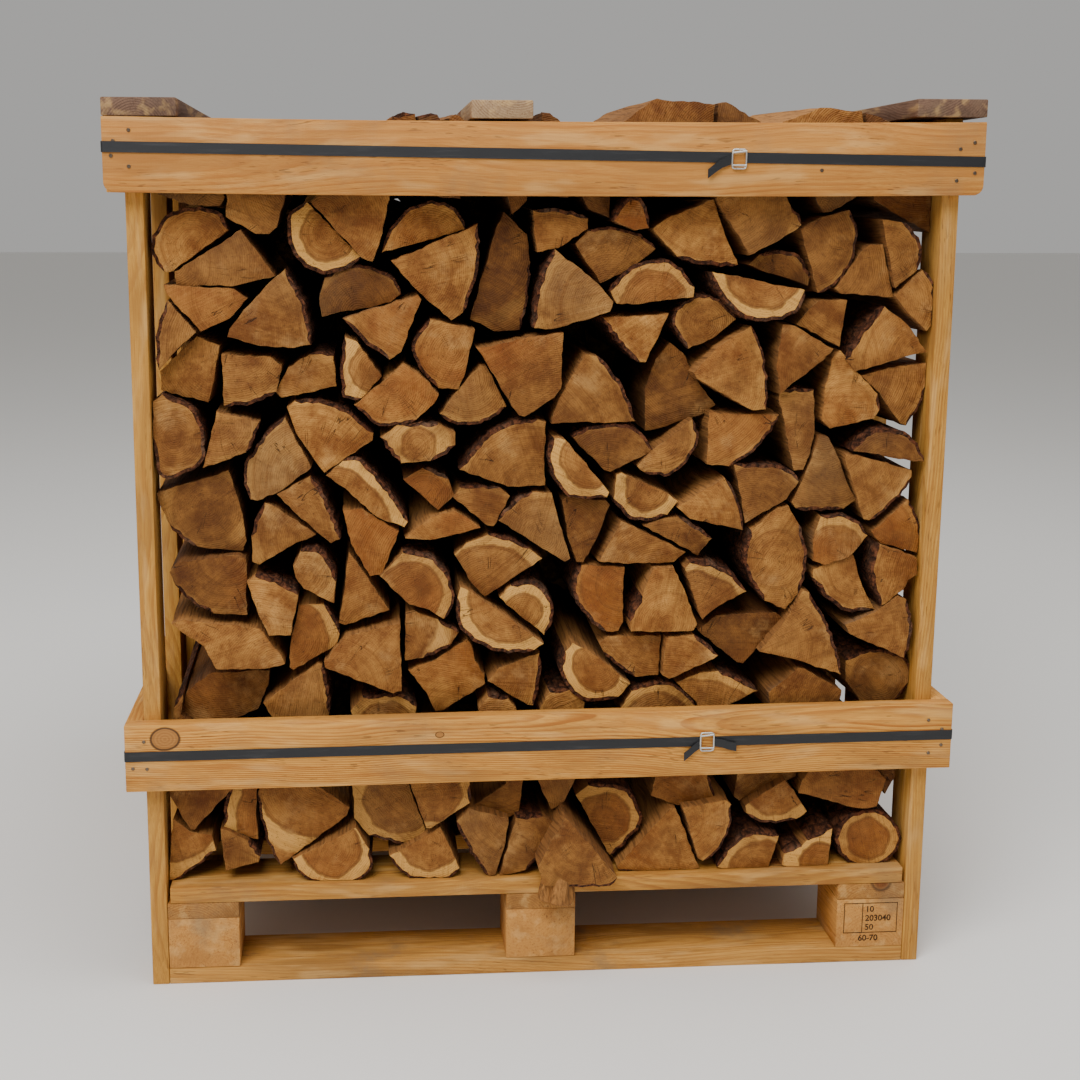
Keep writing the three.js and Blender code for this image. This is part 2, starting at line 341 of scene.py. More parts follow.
def bark():
    """Dry flaking bark, reddish brown with grey patches."""
    t = Tree("log_bark")
    place = t.place()
    seed = t.split(t.attribute("tone"))[2]
    x, y, z = t.split(place)
    along = t.join(x + seed, y * 0.45, z)
    rough = t.noise(along, 150.0, 4.0, 0.7)
    warped = t.vector("ADD", along, t.join(rough * 0.012, 0.0, rough * 0.012))
    plate = t.cells(warped, 75.0, "DISTANCE_TO_EDGE")
    broad = t.noise(along, 26.0, 4.0, 0.6)
    colour = t.mix(rough.step(0.32, 0.68), srgb(46, 27, 18), srgb(112, 68, 44))
    colour = t.mix(broad.step(0.52, 0.74) * 0.5, colour, srgb(116, 92, 72))
    colour = t.mix(broad.step(0.46, 0.3) * 0.5, colour, srgb(92, 46, 24))
    # painted shade: the near-black along the plate edges stands in for the shadow in the fissures between
    # them
    colour = t.mix(plate.step(0.12, 0.0) * 0.45, colour, srgb(24, 14, 10))
    height = rough * 1.2 + plate.step(0.0, 0.16) + broad
    return t.finish(
        Base_Color=colour,
        Roughness=0.9,
        Normal=t.bump(height, 0.0028, 1.0),
        Specular_IOR_Level=0.2,
    )


def strap_plastic(colour):
    """Polypropylene strapping with its pressed diamond pattern."""
    t = Tree("strapping")
    place = t.place()
    x, y, z = t.split(place)
    run = x + y
    diamonds = ((run + z) * 2600.0).sine() * ((run - z) * 2600.0).sine()
    scuff = t.noise(t.join(run * 14.0, z * 160.0, 0.2), detail=4.0, roughness=0.65)
    tint = t.mix(scuff.step(0.52, 0.8) * 0.35, tuple(colour), srgb(78, 78, 80))
    return t.finish(
        Base_Color=tint,
        Roughness=0.38 + scuff * 0.22,
        Normal=t.bump(diamonds, 0.00016, 0.6),
    )


def wire_metal(name, colour, rust):
    """Drawn wire or a nail head, a little dulled and stained."""
    t = Tree(name)
    place = t.place()
    drawn = t.noise(place, 900.0, 2.0)
    spot = t.noise(place, 260.0, 4.0).step(0.6, 0.72) * rust
    return t.finish(
        Base_Color=t.mix(spot, tuple(colour), srgb(98, 60, 36)),
        Metallic=1.0 - spot * 0.8,
        Roughness=0.3 + drawn * 0.2 + spot * 0.3,
        Normal=t.bump(drawn, 0.0001, 0.5),
    )


def ink(name, colour):
    """Stamped ink that has soaked into end grain, broken by the fibres."""
    t = Tree(name)
    place = t.place()
    x, _, z = t.split(place)
    fibre = t.noise(t.join(x * 300.0, z * 1200.0, 0.4), detail=3.0)
    return t.finish(
        Base_Color=t.mix(fibre.step(0.5, 0.75) * 0.6, tuple(colour), srgb(150, 108, 66)),
        Roughness=0.85,
        Specular_IOR_Level=0.2,
    )


def floor_paint(colour):
    """A pale painted studio floor."""
    t = Tree("studio_floor")
    cloud = t.noise(t.place(), 0.8, 3.0)
    soft = t.mix(cloud * 0.05, tuple(colour), srgb(236, 236, 236))
    return t.finish(Base_Color=soft, Roughness=0.7 + cloud * 0.1, Specular_IOR_Level=0.2)


# ---------------------------------------------------------------- modelling
FINISHES = {}


def finish(make, *facts, **more):
    """Makes a finish the first time that it is asked for, and hands out the same one afterwards."""
    key = (make.__name__, facts, tuple(sorted(more.items())))
    if key not in FINISHES:
        FINISHES[key] = make(*facts, **more)
    return FINISHES[key]


def clear_selection():
    if bpy.context.object and bpy.context.object.mode != "OBJECT":
        bpy.ops.object.mode_set(mode="OBJECT")
    bpy.ops.object.select_all(action="DESELECT")


def points_of(piece):
    spots = np.empty(len(piece.data.vertices) * 3)
    piece.data.vertices.foreach_get("co", spots)
    return spots.reshape(-1, 3)


def set_points(piece, spots):
    piece.data.vertices.foreach_set("co", np.ascontiguousarray(spots, float).ravel())
    piece.data.update()


def paint(piece, name, values):
    """Stores three numbers on each point of a piece, for its finish to read."""
    layer = piece.data.attributes.new(name, "FLOAT_VECTOR", "POINT")
    layer.data.foreach_set("vector", np.ascontiguousarray(values, float).ravel())


def apply_place():
    bpy.ops.object.transform_apply(location=True, rotation=True, scale=True)


def keep(piece, name, finishes, nodes=()):
    """Names a finished piece, gives it its finishes and ties it to the frame."""
    piece.name = name
    piece.data.name = name
    for each in finishes:
        piece.data.materials.append(each)
    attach(piece, "root")
    if nodes:
        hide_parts(*nodes)
    return piece


def join_all(pieces):
    """Joins pieces into the first of them."""
    clear_selection()
    for piece in pieces:
        piece.select_set(True)
    bpy.context.view_layer.objects.active = pieces[0]
    if len(pieces) > 1:
        bpy.ops.object.join()
    return pieces[0]


def add_modifier(piece, kind, **settings):
    """Adds a modifier and applies it."""
    clear_selection()
    piece.select_set(True)
    bpy.context.view_layer.objects.active = piece
    bpy.ops.object.modifier_add(type=kind)
    modifier = piece.modifiers[-1]
    for key, value in settings.items():
        setattr(modifier, key, value)
    bpy.ops.object.modifier_apply(modifier=modifier.name)


def box_between(low, high):
    """A cuboid between two corners, selected and with its place in its mesh."""
    clear_selection()
    low, high = Vector(low), Vector(high)
    bpy.ops.mesh.primitive_cube_add(size=1.0, location=(low + high) / 2)
    piece = bpy.context.object
    piece.scale = high - low
    apply_place()
    return piece


def pick_edges(piece, test):
    """Goes to edit mode with the edges selected whose two ends pass a test."""
    bpy.ops.object.mode_set(mode="EDIT")
    bpy.ops.mesh.select_mode(type="EDGE")
    bpy.ops.mesh.select_all(action="DESELECT")
    bpy.ops.object.mode_set(mode="OBJECT")
    spots = piece.data.vertices
    for edge in piece.data.edges:
        edge.select = test(*(spots[i].co for i in edge.vertices))
    bpy.ops.object.mode_set(mode="EDIT")


def bevel_sharp(degrees, offset, segments):
    """Goes to edit mode and bevels the active piece's edges that are sharper than an angle."""
    bpy.ops.object.mode_set(mode="EDIT")
    bpy.ops.mesh.select_all(action="DESELECT")
    bpy.ops.mesh.edges_select_sharp(sharpness=math.radians(degrees))
    bpy.ops.mesh.bevel(offset=offset, segments=segments, affect="EDGES")


def fall_of(node):
    """How far a belt board's top rises from its left end to its right, and how far its middle sags."""
    spots = points_of(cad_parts[node])
    reach = abs(spots[:, X]).max()

    def top(low, high):
        near = (spots[:, X] >= low * reach) & (spots[:, X] <= high * reach)
        return spots[near, Z].max() if near.any() else None

    left, middle, right = top(-1.0, -0.97), top(-0.1, 0.1), top(0.97, 1.0)
    sag = (left + right) / 2 - middle if middle is not None else 0.0
    return right - left, sag


# ---------------------------------------------------------------- boards
BOARD_STEP = 100 * MM
WANDER = 0.22 * MM
TURN = 6.28


def sawn_board(node, along, wood, eased, rounded=0.0, bends=False):
    """One board with eased edges and a little wander, and its own place in the tree it was cut from."""
    chance = random.Random(node)
    low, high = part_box(node)
    rise, sag = fall_of(node) if bends else (0.0, 0.0)
    low.z += abs(rise) + sag
    piece = box_between(low, high)
    if rounded:
        pick_edges(piece, lambda a, b: max(a.z, b.z) < low.z + MM and abs(a.x - b.x) < MM)
        bpy.ops.mesh.bevel(offset=rounded, segments=5, affect="EDGES")
    bpy.ops.object.mode_set(mode="EDIT")
    bpy.ops.mesh.select_mode(type="EDGE")
    bevel_sharp(50, eased, 2)
    stations = max(2, int((high[along] - low[along]) / BOARD_STEP))
    for i in range(1, stations):
        spot = low.copy()
        spot[along] += (high[along] - low[along]) * i / stations
        bpy.ops.mesh.select_all(action="SELECT")
        bpy.ops.mesh.bisect(plane_co=spot, plane_no=[float(axis == along) for axis in range(3)])
    bpy.ops.object.mode_set(mode="OBJECT")
    bpy.ops.object.shade_smooth_by_angle(angle=math.radians(30))

    spots = points_of(piece)
    run = spots[:, along]
    centre = (low + high) / 2
    size = high - low
    others = [axis for axis in range(3) if axis != along]
    for axis in others:
        phase, length = chance.uniform(0, TURN), chance.uniform(0.35, 0.8)
        spots[:, axis] += WANDER * np.sin(run / length * TURN + phase)
    spots[:, Z] += rise * spots[:, X] / size.x - abs(rise) / 2 if bends else 0.0
    spots[:, Z] -= sag * (1 - (spots[:, X] / (size.x / 2)) ** 2)
    set_points(piece, spots)

    thin = min(others, key=lambda axis: size[axis])
    wide = [axis for axis in others if axis != thin][0]
    heart = [0.0, 0.0, 0.0]
    heart[along] = chance.uniform(-5, 5)
    heart[thin] = -centre[thin] + chance.choice((-1, 1)) * chance.uniform(0.022, 0.055)
    heart[wide] = -centre[wide] + chance.uniform(-0.045, 0.045)
    paint(piece, "grain", np.tile(heart, (len(spots), 1)))
    return keep(piece, node + "_sawn", [wood], [node])


def nodes_named(*starts):
    return [node for node in NODES if node.startswith(starts)]


def build_pallet(shape):
    eased = shape.eased_edge
    deck = finish(pine, "pallet_deck_pine", X, srgb(192, 136, 60), srgb(152, 96, 38), srgb(136, 92, 44),
                  ring=0.0028, grey=0.5)
    skid = finish(pine, "pallet_skid_pine", X, srgb(200, 145, 70), srgb(164, 108, 46), srgb(120, 84, 43),
                  ring=0.0036, grey=1.3)
    stringer = finish(pine, "pallet_stringer_pine", Y, srgb(176, 123, 59), srgb(138, 87, 38),
                      srgb(110, 73, 35), grey=0.6)
    block = finish(pine, "pallet_block_pine", Y, srgb(198, 140, 70), srgb(160, 102, 48), srgb(142, 91, 42),
                   ring=0.0042, grey=1.1, figure=0.4, branches=0.2)
    for start, along, wood in (("skid", X, skid), ("deck_board", X, deck), ("stringer", Y, stringer),
                               ("block", Y, block)):
        for node in nodes_named(start):
            sawn_board(node, along, wood, eased)


def build_side_boards(shape):
    plain = finish(pine, "side_board_pine", Z, srgb(200, 145, 64), srgb(160, 104, 41), srgb(146, 99, 43),
                   ring=0.0034, grey=0.25, figure=0.8)
    for node in nodes_named("side_board"):
        sawn_board(node, Z, plain, shape.eased_edge)


def build_belts(shape):
    honey = (srgb(196, 135, 64), srgb(168, 104, 43), srgb(158, 104, 49))
    golden = (srgb(216, 154, 71), srgb(168, 102, 38), srgb(150, 100, 46))
    finishes = {
        "belt_upper_front": finish(pine, "belt_upper_front_pine", X, *honey, ring=0.0052, figure=0.75,
                                   grey=0.55, branches=0.0),
        "belt_lower_front": finish(pine, "belt_lower_front_pine", X, *golden, ring=0.0026, figure=1.35,
                                   grey=0.4, knots=((-495.0, 352.0, 18.5, 15.0), (-140.0, 350.0, 5.5, 4.0))),
    }
    lengthways = finish(pine, "belt_pine", X, *golden, ring=0.0032)
    sideways = finish(pine, "belt_side_pine", Y, *golden, ring=0.0034)
    for node in nodes_named("belt"):
        front_or_back = node.endswith(("front", "back"))
        wood = finishes.get(node, lengthways if front_or_back else sideways)
        rounded = shape.belt_corner if node == "belt_upper_front" else 0.0
        along = X if front_or_back else Y
        sawn_board(node, along, wood, shape.eased_edge, rounded, front_or_back)


def build_stacking_boards(shape):
    worn = finish(pine, "stacking_board_worn_pine", Y, srgb(118, 90, 72), srgb(84, 60, 46), srgb(70, 54, 44),
                  ring=0.003, grey=0.9)
    newer = finish(pine, "stacking_board_newer_pine", Y, srgb(168, 138, 104), srgb(128, 98, 70),
                   srgb(110, 86, 66), ring=0.003, grey=0.9)
    for node in nodes_named("stacking_board"):
        wood = newer if node.endswith("middle") else worn
        sawn_board(node, Y, wood, shape.eased_edge * 1.4)


# ---------------------------------------------------------------- straps and buckles
STRAP_WIDTH = 13 * MM
STRAP_THICK = 0.8 * MM
WIRE = 1.15 * MM
# Each ring: the window of its buckle (left, right, bottom, top), and the loose ends of the strap, each as the
# places that its middle passes (x, z), in millimetres.
BUCKLES = {
    "upper": ((222.5, 242.5, 1076.5, 1102.0), (((222, 1088), (211, 1084), (202, 1078), (193, 1071)),)),
    "lower": ((204.0, 224.0, 320.0, 347.0), (((206, 331), (197, 325), (190, 319), (183, 314)),
                                            ((222, 333), (234, 331), (244, 328), (253, 326)))),
}


def strip_along(path, width, thick, name):
    """A flat strip whose middle passes the places of a path and whose width stands up, facing the front."""
    clear_selection()
    count = len(path)
    bpy.ops.mesh.primitive_grid_add(x_subdivisions=count - 1, y_subdivisions=2, size=1.0)
    piece = bpy.context.object
    spots = points_of(piece)
    step = np.rint((spots[:, X] + 0.5) * (count - 1)).astype(int)
    path = np.array([tuple(place) for place in path])
    lift = spots[:, Y] * width
    set_points(piece, path[step] + np.outer(lift, (0, 0, 1)))
    add_modifier(piece, "SOLIDIFY", thickness=thick, offset=0.0)
    bpy.ops.object.mode_set(mode="EDIT")
    bpy.ops.mesh.select_all(action="SELECT")
    bpy.ops.mesh.normals_make_consistent(inside=False)
    bpy.ops.object.mode_set(mode="OBJECT")
    bpy.ops.object.shade_smooth_by_angle(angle=math.radians(40))
    piece.name = name
    return piece


def ring_path(low, high, corner, start, stop, rise):
    """The places round a rounded rectangle, from start on its front face round the back to stop."""
    centre = (low + high) / 2
    path = []

    def add(x, y):
        path.append((x, y, centre.z + rise * (x - centre.x) / (high.x - low.x)))

    def straight(x0, y0, x1, y1, steps):
        for i in range(steps):
            add(x0 + (x1 - x0) * i / steps, y0 + (y1 - y0) * i / steps)

    def bend(x, y, turn):
        for i in range(5):
            angle = math.radians(turn + 90 * i / 5)
            add(x + corner * math.cos(angle), y + corner * math.sin(angle))

    x0, x1, y0, y1 = low.x + corner, high.x - corner, low.y + corner, high.y - corner
    straight(start, low.y, x1, low.y, 6)
    bend(x1, y0, -90)
    straight(high.x, y0, high.x, y1, 16)
    bend(x1, y1, 0)
    straight(x1, high.y, x0, high.y, 16)
    bend(x0, y1, 90)
    straight(low.x, y1, low.x, y0, 16)
    bend(x0, y0, 180)
    straight(x0, low.y, stop, low.y, 12)
    add(stop, low.y)
    return path


def build_straps(shape):
    plastic = finish(strap_plastic, tuple(shape.strap_colour))
    for ring, (window, tails) in BUCKLES.items():
        node = f"strap_{ring}"
        low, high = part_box(node)
        slope = points_of(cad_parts[node])
        front = slope[slope[:, Y] < low.y + MM]
        right = front[front[:, X] > high.x - 20 * MM, Z].mean()
        left = front[front[:, X] < low.x + 20 * MM, Z].mean()
        inset = Vector((STRAP_THICK / 2, STRAP_THICK / 2, 0))
        path = ring_path(low + inset, high - inset, 3 * MM, (window[1] - 1) * MM, (window[0] + 1) * MM,
                         right - left)
        band = strip_along(path, STRAP_WIDTH, STRAP_THICK, "band")
        parts = [band]
        for number, tail in enumerate(tails):
            places = []
            for i, (x, z) in enumerate(tail):
                places.append((x * MM, low.y - (0.8 + 1.1 * i) * MM, z * MM))
            parts.append(strip_along(places, STRAP_WIDTH * 0.86, STRAP_THICK, f"tail_{number}"))
        keep(join_all(parts), f"strap_{ring}_band", [plastic], [node])


def bent_wire(window, depth, name):
    """A round wire bent to a rectangle with round corners."""
    left, right, bottom, top = (value * MM for value in window)
    clear_selection()
    bpy.ops.mesh.primitive_torus_add(
        major_segments=48, minor_segments=10, major_radius=1.0, minor_radius=WIRE,
        rotation=(math.pi / 2, 0, 0))
    piece = bpy.context.object
    apply_place()
    spots = points_of(piece)
    angle = np.arctan2(spots[:, Z], spots[:, X])
    out = np.hypot(spots[:, X], spots[:, Z]) - 1.0
    cos, sin = np.cos(angle), np.sin(angle)
    half_x, half_z, sharp = (right - left) / 2 - WIRE, (top - bottom) / 2 - WIRE, 0.3
    centre_x = np.sign(cos) * abs(cos) ** sharp * half_x
    centre_z = np.sign(sin) * abs(sin) ** sharp * half_z
    normal_x = np.sign(cos) * abs(cos) ** (2 - sharp) / half_x
    normal_z = np.sign(sin) * abs(sin) ** (2 - sharp) / half_z
    size = np.hypot(normal_x, normal_z)
    spots[:, X] = (left + right) / 2 + centre_x + out * normal_x / size
    spots[:, Z] = (bottom + top) / 2 + centre_z + out * normal_z / size
    spots[:, Y] += depth
    set_points(piece, spots)
    bpy.ops.object.shade_smooth()
    piece.name = name
    return piece


def wire_bar(start, stop):
    """A straight piece of the wire between two places."""
    clear_selection()
    start, stop = Vector(start), Vector(stop)
    turn = (stop - start).to_track_quat("Z", "Y").to_euler()
    bpy.ops.mesh.primitive_cylinder_add(
        vertices=10, radius=WIRE, depth=(stop - start).length, location=(start + stop) / 2, rotation=turn)
    apply_place()
    bpy.ops.object.shade_smooth_by_angle(angle=math.radians(50))
    return bpy.context.object


def build_buckles(shape):
    wire = finish(wire_metal, "buckle_wire", tuple(shape.wire_colour), 0.35)
    for ring, (window, _) in BUCKLES.items():
        node = f"buckle_{ring}"
        low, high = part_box(node)
        depth = (low.y + high.y) / 2
        left, right, bottom, top = (value * MM for value in window)
        frame_wire = bent_wire(window, depth, "wire")
        lip = (top - bottom) * 0.2
        bars = [
            wire_bar((left + WIRE, depth - WIRE, top - lip),
     (right - WIRE, depth - WIRE, top - lip * 0.62)),
            wire_bar((left + WIRE, depth - WIRE, bottom + lip), (right - WIRE, depth - WIRE, bottom + lip)),
        ]
        keep(join_all([frame_wire, *bars]), f"buckle_{ring}_wire", [wire], [node])


# ---------------------------------------------------------------- nails and the ink stamp
# Where the nails of the front boards are (x, z), in millimetres.
FRONT_NAILS = (
    (-533, 1107), (-514, 1120), (-515, 1077), (-536, 1089.5), (532, 1111), (514, 1103), (534, 1073.5),
    (511, 1064), (338, 1076), (-537, 313), (-519, 312), (-522, 349), (514, 356), (533, 343), (533, 321),
    (516, 310),
)
NAIL_RADIUS = 2.4 * MM
NAIL_PROUD = 0.1 * MM


def nail_head(place, turn):
    """A flat nail head, slightly sunk into the board."""
    clear_selection()
    bpy.ops.mesh.primitive_cylinder_add(vertices=12, radius=NAIL_RADIUS, depth=1.6 * MM)
    bevel_sharp(60, 0.4 * MM, 1)
    bpy.ops.object.mode_set(mode="OBJECT")
    head = bpy.context.object
    head.rotation_euler = turn
    head.location = place
    apply_place()
    return head


def build_nails(shape):
    steel = finish(wire_metal, "nail_steel", tuple(shape.nail_colour), 1.0)
    chance = random.Random(11)
    front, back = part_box("belt_upper_front")[0].y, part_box("belt_upper_back")[1].y
    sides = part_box("belt_upper_left")[0].x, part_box("belt_upper_right")[1].x
    heads = []
    for x, z in FRONT_NAILS:
        heads.append(nail_head((x * MM, front - NAIL_PROUD, z * MM), (math.pi / 2, 0, 0)))
        heads.append(nail_head((-x * MM, back + NAIL_PROUD, (z - 1) * MM), (math.pi / 2, 0, 0)))
    for node in nodes_named("side_board"):
        low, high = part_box(node)
        side = sides[0] if "left" in node else sides[1]
        out = -NAIL_PROUD if "left" in node else NAIL_PROUD
        for belt in ("upper", "lower"):
            belt_low, belt_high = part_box(f"belt_{belt}_{'left' if 'left' in node else 'right'}")
            for share in (0.24, 0.76):
                y = low.y + (high.y - low.y) * (0.5 + chance.uniform(-0.3, 0.3))
                z = belt_low.z + (belt_high.z - belt_low.z) * (share + chance.uniform(-0.06, 0.06))
                heads.append(nail_head((side + out, y, z), (0, math.pi / 2, 0)))
    keep(join_all(heads), "nail_heads", [steel])


# Each line of numbers, with how far across the frame and how far up it the line starts.
STAMP_LINES = (("10", 0.40, 0.70), ("203040", 0.40, 0.40), ("50", 0.40, 0.10), ("60-70", 0.28, -0.26))


def build_stamp(shape):
    """An ink stamp with a plain frame and plain numbers."""
    black = finish(ink, "stamp_ink", tuple(shape.ink_colour))
    low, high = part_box("block_front_right")
    face = low.y - 0.05 * MM
    left, right = low.x + 0.11 * (high.x - low.x), low.x + 0.91 * (high.x - low.x)
    bottom, top = low.z + 0.29 * (high.z - low.z), low.z + 0.92 * (high.z - low.z)
    line, thick = 1.1 * MM, 0.12 * MM
    divide = left + (right - left) * 0.34
    lines = [
        ((left, bottom), (right, bottom + line)),
        ((left, top - line), (right, top)),
        ((left, bottom), (left + line, top)),
        ((right - line, bottom), (right, top)),
        ((divide, bottom), (divide + line, top)),
    ]
    parts = []
    for (x0, z0), (x1, z1) in lines:
        parts.append(box_between((x0, face - thick, z0), (x1, face + thick, z1)))
    for text, across, up in STAMP_LINES:
        clear_selection()
        place = (left + (right - left) * across, face, bottom + (top - bottom) * up)
        bpy.ops.object.text_add(location=place, rotation=(math.pi / 2, 0, 0))
        words = bpy.context.object
        words.data.body = text
        words.data.size = 12 * MM
        words.data.offset = 0.25 * MM
        words.data.extrude = thick
        bpy.ops.object.convert(target="MESH")
        apply_place()
        parts.append(bpy.context.object)
    keep(join_all(parts), "inked_stamp", [black])
